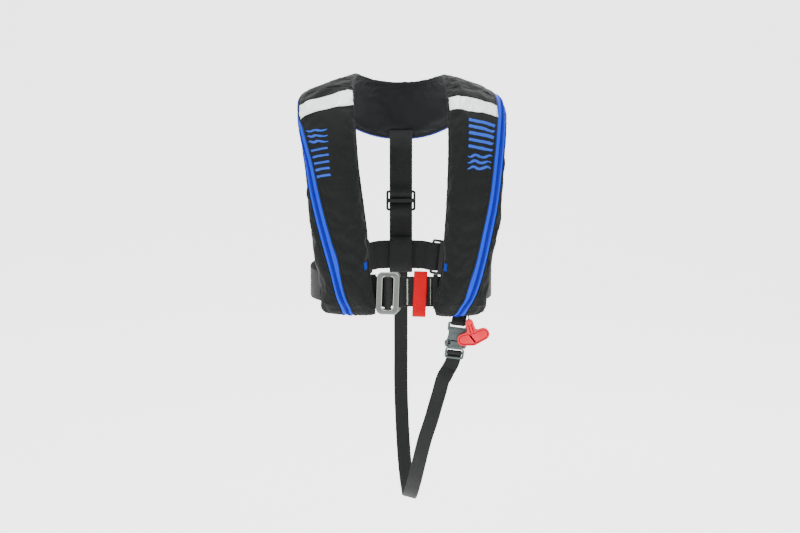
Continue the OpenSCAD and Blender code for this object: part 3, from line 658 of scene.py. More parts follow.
def at_key(K, s):
    s = np.asarray(s, float)
    n = len(K)
    q = np.clip(s, 0, n - 1.00001)
    i = np.floor(q).astype(int)
    f = (q - i)[..., None]
    a, b = K[i], K[i + 1]
    z = np.where((i > 0)[..., None], K[np.maximum(i - 1, 0)], 2 * a - b)
    c = np.where((i < n - 2)[..., None], K[np.minimum(i + 2, n - 1)], 2 * b - a)
    return 0.5 * (2 * a + (b - z) * f + (2 * z - 5 * a + 4 * b - c) * f**2 + (3 * a - z - 3 * b + c) * f**3)


def mid(s):
    return (at_key(KI, s) + at_key(KO, s)) / 2


def wide(s):
    return unit(at_key(KO, s) - at_key(KI, s))


def half(s):
    return np.linalg.norm(at_key(KO, s) - at_key(KI, s), axis=-1, keepdims=True) / 2


def face(s):
    s = np.asarray(s, float)
    return unit(np.cross(mid(np.minimum(s + 0.05, LAST)) - mid(np.maximum(s - 0.05, 0)), wide(s)))


def pw(v):
    return np.sign(v) * np.abs(v) ** 0.8


def skinpt(s, q, r=0.0):
    """Point of the cover at station s and angle q in degrees, moved out by r. Arrays of one shape."""
    s, q, r = np.broadcast_arrays(np.asarray(s, float), np.asarray(q, float), np.asarray(r, float))
    c, sn = np.cos(np.radians(q))[..., None], np.sin(np.radians(q))[..., None]
    rr = r[..., None]
    return mid(s) + wide(s) * pw(c) * (half(s) + rr) + face(s) * pw(sn) * np.where(sn < 0, 0.85, 1.0) * np.maximum(at_key(KT, s) + rr, 0.6)


def qz(s):
    return at_key(KZ, s)[..., 0]


def zspan(s, h):
    q = qz(s)
    d = np.linalg.norm(skinpt(s, q + 4) - skinpt(s, q - 4), axis=-1) / 8
    return h / d


ZH = 9.5
SEAM_IN = 192.0


def seam_out(s):
    return np.minimum(-14, qz(s) - zspan(s, ZH) - 4)


def vnoise(x, y, seed):
    """Smooth value noise, -1 to 1."""
    r = np.random.default_rng(seed).uniform(-1, 1, (64, 64))
    xi, yi = np.floor(x).astype(int), np.floor(y).astype(int)
    fx, fy = x - xi, y - yi
    fx, fy = fx * fx * (3 - 2 * fx), fy * fy * (3 - 2 * fy)
    g = lambda a, b: r[a % 64, b % 64]
    return (g(xi, yi) * (1 - fx) * (1 - fy) + g(xi + 1, yi) * fx * (1 - fy) + g(xi, yi + 1) * (1 - fx) * fy + g(xi + 1, yi + 1) * fx * fy)


# The cover's cloth is cut a little larger than the pack it goes round, and held at the zip, the seams and the ends.
NS, NQ = 301, 100
S_AX = np.linspace(0, LAST, NS)
Q_AX = np.arange(NQ) * 360.0 / NQ
GS, GQ = np.meshgrid(S_AX, Q_AX, indexing="ij")
BASE = skinpt(GS, GQ)
ARC_S = np.concatenate([[0], np.cumsum(np.linalg.norm(np.diff(mid(S_AX), axis=0), axis=1))])


def along(s):
    return np.interp(s, S_AX, ARC_S)


def grid_normals(P):
    ds = np.gradient(P, axis=0)
    dq = np.roll(P, -1, 1) - np.roll(P, 1, 1)
    return unit(np.cross(dq, ds))


BN = grid_normals(BASE)
cen = mid(GS)
if ((BASE - cen) * BN).sum() < 0:
    BN = -BN


def cover_cloth():
    """How far the cloth moves from the smooth cover, as an array of the grid's size, in mm."""
    so = seam_out(S_AX)[:, None] % 360
    zq = qz(S_AX)[:, None]
    zs = zspan(S_AX, ZH)[:, None]
    dq = np.abs((GQ - zq + 180) % 360 - 180)
    pin = np.clip(1.25 - (dq - zs) / (zs * 0.45), 0, 1)
    for seam in (np.full_like(so, SEAM_IN), so):
        d = np.abs((GQ - seam + 180) % 360 - 180) / (zs / ZH)
        pin = np.maximum(pin, np.clip(1.3 - d / 4.5, 0, 1))
    endd = np.minimum(S_AX, LAST - S_AX)[:, None]
    pin = np.maximum(pin, np.clip(1.2 - endd / 0.35, 0, 1) * np.ones_like(GQ))
    x, y = along(GS) / 18.0, GQ / 16.0
    seedn = vnoise(x, y, 3) * 0.35
    P0 = BASE + BN * (seedn * (1 - pin))[..., None]
    me = bpy.data.meshes.new("cloth_sim")
    V = (P0 * MM).reshape(-1, 3)
    F = []
    for i in range(NS - 1):
        for j in range(NQ):
            k = (j + 1) % NQ
            F.append((i * NQ + j, (i + 1) * NQ + j, (i + 1) * NQ + k, i * NQ + k))
    me.from_pydata(V.tolist(), [], F)
    me.update()
    o = bpy.data.objects.new("cloth_sim", me)
    bpy.context.scene.collection.objects.link(o)
    g = o.vertex_groups.new(name="pin")
    w = pin.ravel()
    for i in np.nonzero(w > 0.01)[0]:
        g.add([int(i)], float(w[i]), "REPLACE")
    m = o.modifiers.new("Cloth", "CLOTH")
    st = m.settings
    st.quality = 6
    st.mass = 0.25
    st.tension_stiffness = 25
    st.compression_stiffness = 25
    st.shear_stiffness = 12
    st.bending_stiffness = 0.35
    st.tension_damping = 6
    st.compression_damping = 6
    st.air_damping = 4
    st.vertex_group_mass = "pin"
    st.pin_stiffness = 4
    st.shrink_min = -0.02
    st.use_pressure = True
    st.uniform_pressure_force = 0.6
    st.effector_weights.gravity = 0.0
    m.collision_settings.use_collision = False
    m.collision_settings.use_self_collision = False
    m.point_cache.frame_start = 1
    m.point_cache.frame_end = 26
    sc = bpy.context.scene
    for f in range(1, 27):
        sc.frame_set(f)
    dg = bpy.context.evaluated_depsgraph_get()
    ev = o.evaluated_get(dg)
    co = np.zeros(len(V) * 3)
    ev.data.vertices.foreach_get("co", co)
    sc.frame_set(1)
    bpy.data.objects.remove(o)
    bpy.data.meshes.remove(me)
    D = co.reshape(NS, NQ, 3) / MM - BASE
    D = D * (1 - pin * 0.7)[..., None]
    n = (D * BN).sum(-1)
    t = D - BN * n[..., None]
    print("cloth moves", float(n.min()), float(n.max()), "mm, rms", float(np.sqrt((n**2).mean())))
    n = np.where(n > 0, 4.2 * np.tanh(n / 4.2), 3.0 * np.tanh(n / 3.0))
    t = t * np.minimum(1, 2.0 / np.maximum(np.linalg.norm(t, axis=-1, keepdims=True), 1e-6))
    return BN * n[..., None] + t


CLOTH = cover_cloth()


def grid_at(A, s, q):
    """Smooth value of a grid array at s, q."""
    fs = np.clip(np.asarray(s, float) / LAST * (NS - 1), 0, NS - 1.0001)
    fq = (np.asarray(q, float) % 360) / 360.0 * NQ
    i, j = np.floor(fs).astype(int), np.floor(fq).astype(int) % NQ
    a, b = (fs - i)[..., None], (fq - np.floor(fq))[..., None]
    j2 = (j + 1) % NQ
    return A[i, j] * (1 - a) * (1 - b) + A[i + 1, j] * a * (1 - b) + A[i, j2] * (1 - a) * b + A[i + 1, j2] * a * b


def surf(s, q, r=0.0, cloth=1.0):
    s, q, r = np.broadcast_arrays(np.asarray(s, float), np.asarray(q, float), np.asarray(r, float))
    return skinpt(s, q) + grid_at(CLOTH, s, q) * cloth + grid_at(BN, s, q) * r[..., None]


def edge_profile(d):
    """Height in mm of a turned and stitched edge, d mm from it: a rolled hem, the stitch's valley, then the cloth rising."""
    hem = 0.95 * np.exp(-((d - 1.5) / 1.15) ** 2)
    valley = -0.75 * np.exp(-((d - 4.1) / 0.9) ** 2)
    return hem + valley - 0.3 * np.exp(-d / 0.5)


def pucker(L, d, seed):
    """Little gathers along a seam, fading with the distance d."""
    k = 1 + 0.35 * vnoise(L / 31.0, L * 0, seed)
    ph = 2 * math.pi * L / 9.5 * k
    a = 0.26 * (0.6 + 0.7 * vnoise(L / 21.0, L * 0 + 5, seed + 1))
    return a * np.sin(ph) * np.exp(-((d - 5.5) / 5.0) ** 2)


def panel(name, s0, s1, qa, qb, mat, reps, edges=(1, 1), ends=(0, 0), thick=1.3, n_s=None, n_q=56, seed=1, seam=False):
    """Closed shell of cloth between the angles qa(s) and qb(s)."""
    n_s = n_s or int(abs(along(s1) - along(s0)) / 2.4)
    S = np.linspace(s0, s1, n_s)
    t = np.linspace(0, 1, n_q)
    t = 0.5 - 0.5 * np.cos(math.pi * t) * (0.55 + 0.45 * np.cos(math.pi * t) ** 2)
    t = (t - t[0]) / (t[-1] - t[0])
    A, B = qa(S)[:, None], qb(S)[:, None]
    Q = A + (B - A) * t[None]
    SS = np.repeat(S[:, None], n_q, 1)
    base = skinpt(SS, Q)
    dv = np.concatenate([np.zeros((n_s, 1)), np.cumsum(np.linalg.norm(np.diff(base, axis=1), axis=2), axis=1)], 1)
    W = dv[:, -1:]
    L = along(SS)
    r = np.zeros_like(Q)
    for e, d in ((edges[0], dv), (edges[1], W - dv)):
        if e:
            r = r + edge_profile(d) * e + pucker(L, d, seed + (3 if d is dv else 9)) * e
    for e, d in ((ends[0], np.abs(L - along(s0))), (ends[1], np.abs(along(s1) - L))):
        if e:
            r = r + edge_profile(d) * e
    r = r + 0.12 * vnoise(L / 5.0, dv / 5.0, seed + 20)
    top = surf(SS, Q, r)
    low = surf(SS, Q, np.minimum(r, 0) - thick)
    m = n_q
    V = np.concatenate([top, low[:, ::-1]], 1).reshape(-1, 3)
    ring = 2 * m
    F = []
    for i in range(n_s - 1):
        a, b = i * ring, (i + 1) * ring
        for j in range(ring):
            k = (j + 1) % ring
            F.append((a + j, b + j, b + k, a + k))
    for j in range(m - 1):
        F.append((j, j + 1, ring - 2 - j, ring - 1 - j))
        q = (n_s - 1) * ring
        F.append((q + j + 1, q + j, q + ring - 1 - j, q + ring - 2 - j))
    uv = np.stack([np.concatenate([L, L[:, ::-1]], 1), np.concatenate([dv, dv[:, ::-1]], 1)], -1).reshape(-1, 2) * MM
    o = make(name, V, F, mat, ROOT, uv, reps, sharp=75)
    fix_normals(o)
    return o


def stitch_line(name, s0, s1, qf, mat, r=0.15, pitch=3.3, on=0.62, lift=0.12, cloth=1.0):
    """Row of lockstitches along q = qf(s)."""
    n = 2400
    S = np.linspace(s0, s1, n)
    P = surf(S, qf(S), 0, cloth)
    L = np.concatenate([[0], np.cumsum(np.linalg.norm(np.diff(P, axis=0), axis=1))])
    k = int(L[-1] / pitch)
    a = np.arange(k) * pitch + pitch * 0.5
    sa, sb = np.interp(a, L, S), np.interp(a + pitch * on, L, S)
    A, B = surf(sa, qf(sa), lift, cloth), surf(sb, qf(sb), lift, cloth)
    return capsules(name, A, B, grid_at(BN, sa, qf(sa)), r, mat, ROOT)


zhi = lambda s: qz(s) + zspan(s, ZH) + 0.3
zlo = lambda s: np.maximum(qz(s) - zspan(s, ZH) - 0.4, seam_out(s) + 2.6)
cin = lambda s: np.full_like(np.asarray(s, float), SEAM_IN - 0.15)
cout = lambda s: seam_out(s) + 0.25
lin0 = lambda s: np.full_like(np.asarray(s, float), SEAM_IN + 0.15)
lin1 = lambda s: 360 + seam_out(s) - 0.25

covers = [
    panel("right_front_cover", 0, 9.77, zhi, cin, COVER, ["right_front_panel"], ends=(0.6, 0.8), seed=11),
    panel("left_front_cover", 20.23, LAST, zhi, cin, COVER, ["left_front_panel"], ends=(0.8, 0.6), seed=31),
    panel("collar_cover_cloth", 9.79, 20.21, zhi, cin, COVER, ["collar_cover"], ends=(0.8, 0.8), seed=51, n_q=44),
]
panel("right_side_cover", 0, 9.77, cout, zlo, COVER, ["right_side_panel"], ends=(0.6, 0.6), seed=71, n_q=34)
panel("left_side_cover", 20.23, LAST, cout, zlo, COVER, ["left_side_panel"], ends=(0.6, 0.6), seed=91, n_q=34)
panel("right_lining_cloth", 0, 9.77, lin0, lin1, LINING, ["right_lining"], ends=(0.6, 0.6), seed=111, n_q=48)
panel("left_lining_cloth", 20.23, LAST, lin0, lin1, LINING, ["left_lining"], ends=(0.6, 0.6), seed=131, n_q=48)
collar_lin = panel("collar_lining_cloth", 9.79, 20.21, lin0, lin1, LINING, ["collar_lining"], ends=(0.6, 0.6), seed=151, n_q=40)
panel("collar_edge_cloth", 9.79, 20.21, cout, lambda s: np.maximum(zlo(s), cout(s) + 2.4), LINING, ["collar_lining"], (0.3, 0.3), (0.3, 0.3), seed=171, n_q=14)

off = lambda f, mm: (lambda s: f(s) + np.sign(mm) * zspan(s, abs(mm)))
for nm, a, b in (("right", 0.12, 9.7), ("collar", 9.86, 20.14), ("left", 20.3, LAST - 0.12)):
    stitch_line(nm + "_zip_stitches_in", a, b, off(zhi, 4.1), THREAD_DARK, lift=-0.5)
    stitch_line(nm + "_seam_stitches", a, b, off(cin, -4.3), THREAD_DARK, lift=-0.5)
    if nm != "collar":
        stitch_line(nm + "_zip_stitches_out", a, b, off(zlo, -4.1), THREAD_DARK, lift=-0.5)

# Zip: tape laid flat under the cover's two edges, and its coil of linked turns.


def zip_parts():
    n_s = 560
    S = np.linspace(0.0, LAST, n_s)
    x = np.array([-9.7, -9.2, -8.4, -6.6, -4.6, -3.3, -3.0, -1.5, 0, 1.5, 3.0, 3.3, 4.6, 6.6, 8.4, 9.2, 9.7])
    h = np.array([-0.7, 0.1, 0.25, 0.25, 0.3, 0.35, 0.1, 0.1, 0.1, 0.1, 0.1, 0.35, 0.3, 0.25, 0.25, 0.1, -0.7])
    Q = qz(S)[:, None] + zspan(S, 1.0)[:, None] * x[None]
    SS = np.repeat(S[:, None], len(x), 1)
    top, low = surf(SS, Q, h[None] - 0.25, 0.35), surf(SS, Q, h[None] * 0 - 1.3, 0.35)
    m = len(x)
    V = np.concatenate([top, low[:, ::-1]], 1).reshape(-1, 3)
    L = along(SS)
    F = []
    ring = 2 * m
    for i in range(n_s - 1):
        a, b = i * ring, (i + 1) * ring
        for j in range(ring):
            k = (j + 1) % ring
            F.append((a + j, b + j, b + k, a + k))
    for j in range(m - 1):
        F.append((j, j + 1, ring - 2 - j, ring - 1 - j))
        q = (n_s - 1) * ring
        F.append((q + j + 1, q + j, q + ring - 1 - j, q + ring - 2 - j))
    xx = np.repeat(x[None], n_s, 0)
    uv = np.stack([np.concatenate([L, L[:, ::-1]], 1), np.concatenate([xx, xx[:, ::-1]], 1)], -1).reshape(-1, 2) * MM
    o = make("zip_tape_cloth", V, F, ZIP_TAPE, ROOT, uv, ["zip_tape"], sharp=60)
    fix_normals(o)
    P = surf(S, qz(S), 0, 0.35)
    L = np.concatenate([[0], np.cumsum(np.linalg.norm(np.diff(P, axis=0), axis=1))])
    k = int((L[-1] - 4) / 1.5)
    a = 2 + np.arange(k) * 1.5
    s = np.interp(a, L, S)
    q, z1 = qz(s), zspan(s, 1.0)
    side = np.where(np.arange(k) % 2 == 0, 1.0, -1.0)
    A = surf(s, q - side * z1 * 0.9, 0.75, 0.35)
    B = surf(s, q + side * z1 * 2.7, 0.75, 0.35)
    capsules("zip_coil_turns", A, B, grid_at(BN, s, q), 0.72, COIL, ROOT, flat=1.0, sides=7)
    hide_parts("zip_coil")
    for sgn, nm in ((-1, "a"), (1, "b")):
        stitch_line("zip_coil_stitches_" + nm, 0.06, LAST - 0.06, lambda s: qz(s) + sgn * zspan(s, 3.3), COIL, 0.16, 2.2, 0.7, 0.2, 0.35)


zip_parts()


# Reflective tape across each shoulder, following the cloth, with its stitches.


def reflective(name, a0, b0, a1, b1, q_out, reps):
    n_s, n_q = 22, 90
    f = np.linspace(0, 1, n_s)[:, None]
    g = np.linspace(0, 1, n_q)[None]
    S = (a0 + (a1 - a0) * g) * (1 - f) + (b0 + (b1 - b0) * g) * f
    Q = np.repeat(q_out + (172 - q_out) * g, n_s, 0)
    base = skinpt(S, Q)
    dv = np.concatenate([np.zeros((n_s, 1)), np.cumsum(np.linalg.norm(np.diff(base, axis=1), axis=2), axis=1)], 1)
    du = np.concatenate([np.zeros((1, n_q)), np.cumsum(np.linalg.norm(np.diff(base, axis=0), axis=2), axis=0)], 0)
    e = np.minimum(np.minimum(du, du[-1:] - du), np.minimum(dv, dv[:, -1:] - dv))
    r = 0.55 + 0.25 * np.clip(e / 0.8, 0, 1) - 0.28 * np.exp(-((e - 2.2) / 0.6) ** 2)
    top, low = surf(S, Q, r), surf(S, Q, -0.3)
    V = np.concatenate([top, low], 0).reshape(-1, 3)
    F = []
    N = n_s * n_q
    for i in range(n_s - 1):
        for j in range(n_q - 1):
            a = i * n_q + j
            F.append((a, a + 1, a + n_q + 1, a + n_q))
            F.append((N + a, N + a + n_q, N + a + n_q + 1, N + a + 1))
    for i in range(n_s - 1):
        a = i * n_q
        F.append((a, a + n_q, N + a + n_q, N + a))
        a = i * n_q + n_q - 1
        F.append((a + n_q, a, N + a, N + a + n_q))
    for j in range(n_q - 1):
        F.append((j + 1, j, N + j, N + j + 1))
        a = (n_s - 1) * n_q + j
        F.append((a, a + 1, N + a + 1, N + a))
    uv = np.stack([np.concatenate([du, du], 0), np.concatenate([dv, dv], 0)], -1).reshape(-1, 2) * MM
    o = make(name, V, F, REFLECTIVE, ROOT, uv, reps, sharp=60)
    fix_normals(o)
    A, B = [], []
    W, H = float(dv[n_s // 2, -1]), float(du[-1, n_q // 2])

    def at(u, v):
        g = v / W
        f = u / H
        s = (a0 + (a1 - a0) * g) * (1 - f) + (b0 + (b1 - b0) * g) * f
        q = q_out + (172 - q_out) * g
        return surf(np.array([s]), np.array([q]), 0.72)[0]
    m = 2.2
    p = 3.0
    for u in (m, H - m):
        for v in np.arange(m, W - m - p, p):
            A.append(at(u, v))
            B.append(at(u, v + p * 0.62))
    for v in (m, W - m):
        for u in np.arange(m, H - m - p, p):
            A.append(at(u, v))
            B.append(at(u + p * 0.62, v))
    A, B = np.array(A), np.array(B)
    nn = grid_at(BN, np.full(len(A), (a0 + b0) / 2), np.full(len(A), (q_out + 172) / 2))
    capsules(name + "_stitches", A, B, nn, 0.2, THREAD_DARK, ROOT)


reflective("right_reflective_tape", 8.52, 9.13, 8.99, 9.68, 36, ["right_reflective_band"])
reflective("left_reflective_tape", 20.9, 21.4, 20.69, 21.21, 58, ["left_reflective_band"])


# Printed emblem: plain waves and slanted bars, thin patches that follow the cloth.


def on_cover(s0, q0, x, y):
    """Point on the cover x mm round and y mm along from station s0, angle q0."""
    x, y = np.asarray(x, float), np.asarray(y, float)
    s = np.interp(along(s0) + y, ARC_S, S_AX)
    return s, q0 + x * zspan(s, 1.0)


def patch(strips, name, s0, q0, flip=1, lean=0.0):
    V, F = [], []
    for (xs, ys, ws, nx, ny) in strips:
        n = len(xs)
        k = 6
        g = np.linspace(0, 1, k)[None]
        X = xs[:, None] + nx[:, None] * ws[:, None] * (g - 0.5)
        Y = ys[:, None] + ny[:, None] * ws[:, None] * (g - 0.5)
        s, q = on_cover(s0, q0, X * flip + lean * Y, Y)
        edge = np.minimum(g, 1 - g) * np.ones_like(X)
        end = np.minimum(np.arange(n), np.arange(n)[::-1])[:, None] * np.ones_like(X)
        h = np.where((edge < 0.01) | (end < 1), -0.2, 0.3)
        top, low = surf(s, q, h), surf(s, q, h * 0 - 0.4)
        b = len(V)
        V.extend(top.reshape(-1, 3))
        V.extend(low.reshape(-1, 3))
        N = n * k
        for i in range(n - 1):
            for j in range(k - 1):
                a = b + i * k + j
                F.append((a, a + 1, a + k + 1, a + k))
                F.append((N + a, N + a + k, N + a + k + 1, N + a + 1))
        for i in range(n - 1):
            a = b + i * k
            F.append((a, a + k, N + a + k, N + a))
            a += k - 1
            F.append((a + k, a, N + a, N + a + k))
        for j in range(k - 1):
            a = b + j
            F.append((a + 1, a, N + a, N + a + 1))
            a = b + (n - 1) * k + j
            F.append((a, a + 1, N + a + 1, N + a))
    o = make(name, V, F, PRINT, ROOT, None, (), sharp=60)
    fix_normals(o)
    return o


def wave_strip(y0, x0, x1, amp, wave, w, phase=0.0, taper=True):
    t = np.linspace(0, 1, 60)
    x = x0 + (x1 - x0) * t
    y = y0 + amp * np.sin(2 * math.pi * x / wave + phase)
    dy = amp * 2 * math.pi / wave * np.cos(2 * math.pi * x / wave + phase)
    nx, ny = -dy / np.sqrt(1 + dy**2), 1 / np.sqrt(1 + dy**2)
    ws = w * np.minimum(1, 0.25 + 3.2 * np.minimum(t, 1 - t)) if taper else w * np.ones_like(t)
    return x, y, ws, nx, ny


def bar_strip(x0, y0, x1, y1, w):
    t = np.linspace(0, 1, 14)
    d = math.hypot(x1 - x0, y1 - y0)
    nx, ny = -(y1 - y0) / d, (x1 - x0) / d
    return x0 + (x1 - x0) * t, y0 + (y1 - y0) * t, np.full(14, w), np.full(14, nx), np.full(14, ny)


def emblem(big):
    """A column of slanted bars ending in three waves: narrow on the right lobe, wider on the left."""
    k = 0.86 if big else 0.52
    out = []
    for i in range(5):
        y = -40 + 10.4 * i
        out.append(bar_strip(-15 * k, y - 3.6 * k, 14.5 * k, y + 3.6 * k, (6.0 if big else 4.3) - 0.2 * i))
    for i in range(3):
        out.append(wave_strip(14 + 9.0 * i, -15 * k, 15 * k, 2.0 * k, 15.0 * k, 4.3 * (0.85 if not big else 1.0), 0.5 * i))
    return out


patch(emblem(0), "right_emblem", 7.42, 78, 1, -0.05)
patch(emblem(1), "left_emblem", 22.5, 92, -1, 0.05)


# Small blue tabs folded into the inner seams.


def tab(name, s0, s1):
    ss = np.linspace(s0, s1, 12)
    t = np.linspace(0, 1, 16)
    q = 163 + 14 * t
    S, Q = np.meshgrid(ss, q, indexing="ij")
    h = 0.45 + 0.55 * np.sin(math.pi * t)[None] ** 0.6 + 0 * S
    top, low = surf(S, Q, h), surf(S, Q, h - 0.75)
    V = np.concatenate([top, low[:, ::-1]], 1).reshape(-1, 3)
    ring = 32
    F = []
    for i in range(11):
        for j in range(ring):
            k = (j + 1) % ring
            F.append((i * ring + j, (i + 1) * ring + j, (i + 1) * ring + k, i * ring + k))
    for j in range(15):
        F.append((j, j + 1, ring - 2 - j, ring - 1 - j))
        a = 11 * ring
        F.append((a + j + 1, a + j, a + ring - 1 - j, a + ring - 2 - j))
    uv = V[:, [2, 0]] * MM
    o = make(name, V, F, TAB, ROOT, uv, ["edge_tabs"], sharp=60)
    fix_normals(o)


tab("right_edge_tab", 3.7, 3.96)
tab("left_edge_tab", 26.09, 26.35)

# ------------------------------------------------------------------ waist belt
bz = -299.0
Z1 = np.array([0, 0, 1.0])
BW, WT = 50.0, 1.6
BR = [[-62, -107.6, bz], [-80, -97.6, bz], [-98, -84.6, bz], [-119, -65, bz], [-140, -39, bz], [-152, -10, bz + 1], [-153, 18, bz + 5], [-139.6, 46, bz + 11], [-124, 68, bz + 17]]
mirror_x = lambda P: [[-p[0], p[1], p[2]] for p in P]


def arc(c, r, a, b, from_, to, k):
    c, a, b = (np.asarray(v, float) for v in (c, a, b))
    return [(c + a * r * math.cos(math.radians(from_ + (to - from_) * i / k)) + b * r * math.sin(math.radians(from_ + (to - from_) * i / k))).tolist() for i in range(k + 1)]


X1, Y1 = [1, 0, 0], [0, 1, 0]
bar = [-21.6, -123, bz]
ring_c = [-3, -116, bz]

web("right_belt", [[-33.4, -112, bz], [-36, -111.2, bz], [-44, -110.8, bz], [-54, -110.4, bz]] + BR, Z1, BW, WT, reps=["belt_right"])
web("belt_tail_web", [[-10, -105.8, bz], [-18, -105.6, bz], [-26, -105.8, bz], [-31.5, -106.5, bz], [-37, -107.6, bz], [-44, -108, bz], [-54, -107.6, bz], [-62, -104.8, bz], [-76, -97.2, bz], [-88, -89.2, bz]], Z1, BW, WT, reps=["belt_tail"])
web("left_belt", [[50, -107.8, bz], [30, -108.2, bz], [12, -108.4, bz], [5, -109.6, bz], [0, -111.4, bz]] + arc(ring_c, 3.6, X1, Y1, 90, 290, 9)
    + [[1.6, -118, bz], [5, -114.2, bz], [8.4, -111.5, bz], [30, -111, bz], [50, -110.6, bz]] + mirror_x(BR), Z1, BW, WT, reps=["belt_left"], step=1.3)
tip = web("belt_tip_web", [[-32.2, -112.2, bz], [-30.6, -114, bz], [-28.6, -117.6, bz], [-27.2, -120.6, bz]] + arc(bar, 5.1, X1, Y1, 180, 450, 12)
          + [[-24.6, -116.2, bz], [-28, -112.4, bz], [-32.2, -109.6, bz]], Z1, BW, WT, body=None, reps=["belt_end_loop"], step=0.8)
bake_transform(tip)

adj_a, adj_b = np.array([-92, 91, bz + 26.0]), np.array([-48, 106, bz + 31.0])
adj_c = (adj_a + adj_b) / 2
adj_t = unit(adj_b - adj_a)
adj_n = unit(np.cross(adj_t, Z1))


def thread(c, t, n):
    return [(np.asarray(c) + t * p[0] + n * p[1]).tolist() for p in ([-19, -2.9], [-12.6, -2.9], [-8.2, 0.2], [-4.2, 3.1], [0, 3.2], [4.2, 3.1], [8.2, 0.2], [12.6, -2.9], [19, -2.9])]


half_line = [[-122.4, 69.4, bz + 17.6], [-114, 76.4, bz + 21], [-104, 84, bz + 24]] + thread(adj_c, adj_t, -adj_n) + [[-40, 108.4, bz + 32], [-25, 110.2, bz + 32.6], [-10, 110.9, bz + 33]]
wa = np.cross(adj_t, -adj_n)
wb = np.array([-wa[0], wa[1], wa[2]])
widths = [Z1] * 3 + [wa] * 9 + [Z1] * 7 + [wb] * 9 + [Z1] * 3
web("back_belt", half_line + [[0, 111, bz + 33]] + mirror_x(half_line)[::-1], np.array(widths), BW, WT, reps=["belt_back"])

# Bar tacks: close zigzag stitches across the doubled belt.


def bartack(name, x, y, z0, z1, mat, width=2.2, step=0.55, r=0.16, body=ROOT):
    zs_ = np.arange(z0, z1, step)
    A = np.stack([np.full_like(zs_, x - width / 2), np.full_like(zs_, y), zs_], 1)
    B = np.stack([np.full_like(zs_, x + width / 2), np.full_like(zs_, y), zs_ + step * 0.5], 1)
    N = np.tile([[0.0, -1.0, 0.0]], (len(zs_), 1))
    return capsules(name, A, B, N, r, mat, body, flat=0.8)


bt = bartack("belt_bar_tack_in", 10.6, -112.35, bz - 22, bz + 22, THREAD_LIGHT)
bartack("belt_bar_tack_out", 48, -111.55, bz - 22, bz + 22, THREAD_LIGHT)
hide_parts("belt_stitching")
# Line of stitches along each edge of the doubled part
for k, z in enumerate((bz - 21, bz + 21)):
    xs = np.arange(13.5, 45.5, 3.0)
    A = np.stack([xs, np.full_like(xs, -111.85), np.full_like(xs, z)], 1)
    capsules("belt_edge_stitches_%d" % k, A, A + [[1.9, 0.0, 0]], np.tile([[0.0, -1, 0]], (len(xs), 1)), 0.17, THREAD_DARK, ROOT)

# Keepers: flat sleeves sewn behind each lobe, round the belt.


def keeper(name, x0, x1, reps):
    w = x1 - x0
    y0, y1, z0, z1 = -113.7, -105.5, bz - 28, bz + 28
    P = outline([(y0, z0), (y1, z0), (y1, z1), (y0, z1)], 1.6, 5)
    pts = [[(x0 + x1) / 2, p[0], p[1]] for p in P]
    o = web(name, pts, [1, 0, 0], w, 1.5, closed=True, reps=reps, step=1.0)
    return o


keeper("right_keeper", -55, -41, ["right_belt_tunnel"])
keeper("left_keeper", 53, 61, ["left_belt_tunnel"])

# Slide buckle: flat steel frame with a round centre bar the webbing goes round.


def to_xz(x, y, z, tilt=0.0):
    """Plate drawn in x and up, facing the viewer at -Y."""
    c, s = math.cos(math.radians(tilt)), math.sin(math.radians(tilt))
    return mat4([[c, s, 0], [0, 0, -1], [-s, c, 0]], [x, y, z])


SW, SH = 37.0, 70.0
buckle = join("steel_slide_buckle", [
    (plate_mesh([rrect(0, 0, SW + 0.4, SH + 0.4, 9.5, 12), rrect(-0.2, 0.4, SW - 18.2, SH - 14.4, 4.6, 8)], 4.6, 1.5, 5), to_xz(bar[0] - 0.2, bar[1], bz - 1, 2.0)),
    (rod_mesh([bar[0], bar[1], bz - 29.5], [bar[0], bar[1], bz + 27.5], 3.9, 28, 0.8), Matrix.Identity(4)),
], STEEL, "slide_buckle", ["slide_buckle"], 40)
# Thin pale steel rims along the opening's edge and round the outer edge: painted bevel highlights.
join("steel_buckle_highlight_rims", [
    (plate_mesh([rrect(-0.2, 0.4, SW - 16.4, SH - 12.6, 5.4, 8), rrect(-0.2, 0.4, SW - 18.6, SH - 14.8, 4.4, 8)], 5.5, 0.45, 3), to_xz(bar[0] - 0.2, bar[1], bz - 1, 2.0)),
    (plate_mesh([rrect(0, 0, SW - 0.6, SH - 0.6, 9.2, 12), rrect(0, 0, SW - 1.8, SH - 1.8, 8.7, 12)], 5.0, 0.25, 2), to_xz(bar[0] - 0.2, bar[1], bz - 1, 2.0)),
], STEEL_HIGHLIGHT, "slide_buckle", [], 40)
# Dark collars at the centre bar's ends fill the top and bottom of the opening, where shadow falls: painted shadow.
join("buckle_bar_end_shadow_collars", [(rod_mesh([bar[0], bar[1], bz + a], [bar[0], bar[1], bz + b], 5.6, 28, 0.5), Matrix.Identity(4)) for a, b in ((-28.2, -25.3), (25.3, 27.8))],
     DARK, "slide_buckle", [], 40)
ringo = join("steel_frame_ring", [
    (plate_mesh([rrect(0, 0, 38, 67, 7.5, 10), rrect(0, 0, 27.6, 53.6, 2.6, 6)], 3.8, 1.3, 4), to_xz(-19.5, -116, bz)),
    (rod_mesh([ring_c[0], ring_c[1], bz - 28], [ring_c[0], ring_c[1], bz + 28], 2.4, 20, 0.5), Matrix.Identity(4)),
], STEEL_DARK, ROOT, ["buckle_ring"], 40)

# Belt adjusters and the back strap's adjuster: plain three-bar slides.


def triglide_mesh(w, t=3.4):
    o = rrect(0, 0, 36, w + 12, 4.5, 8)
    holes = [rrect(s * 8.7, 0, 10.6, w + 3.4, 1.6, 5) for s in (-1, 1)]
    return plate_mesh([o] + holes, t, 0.8, 3)


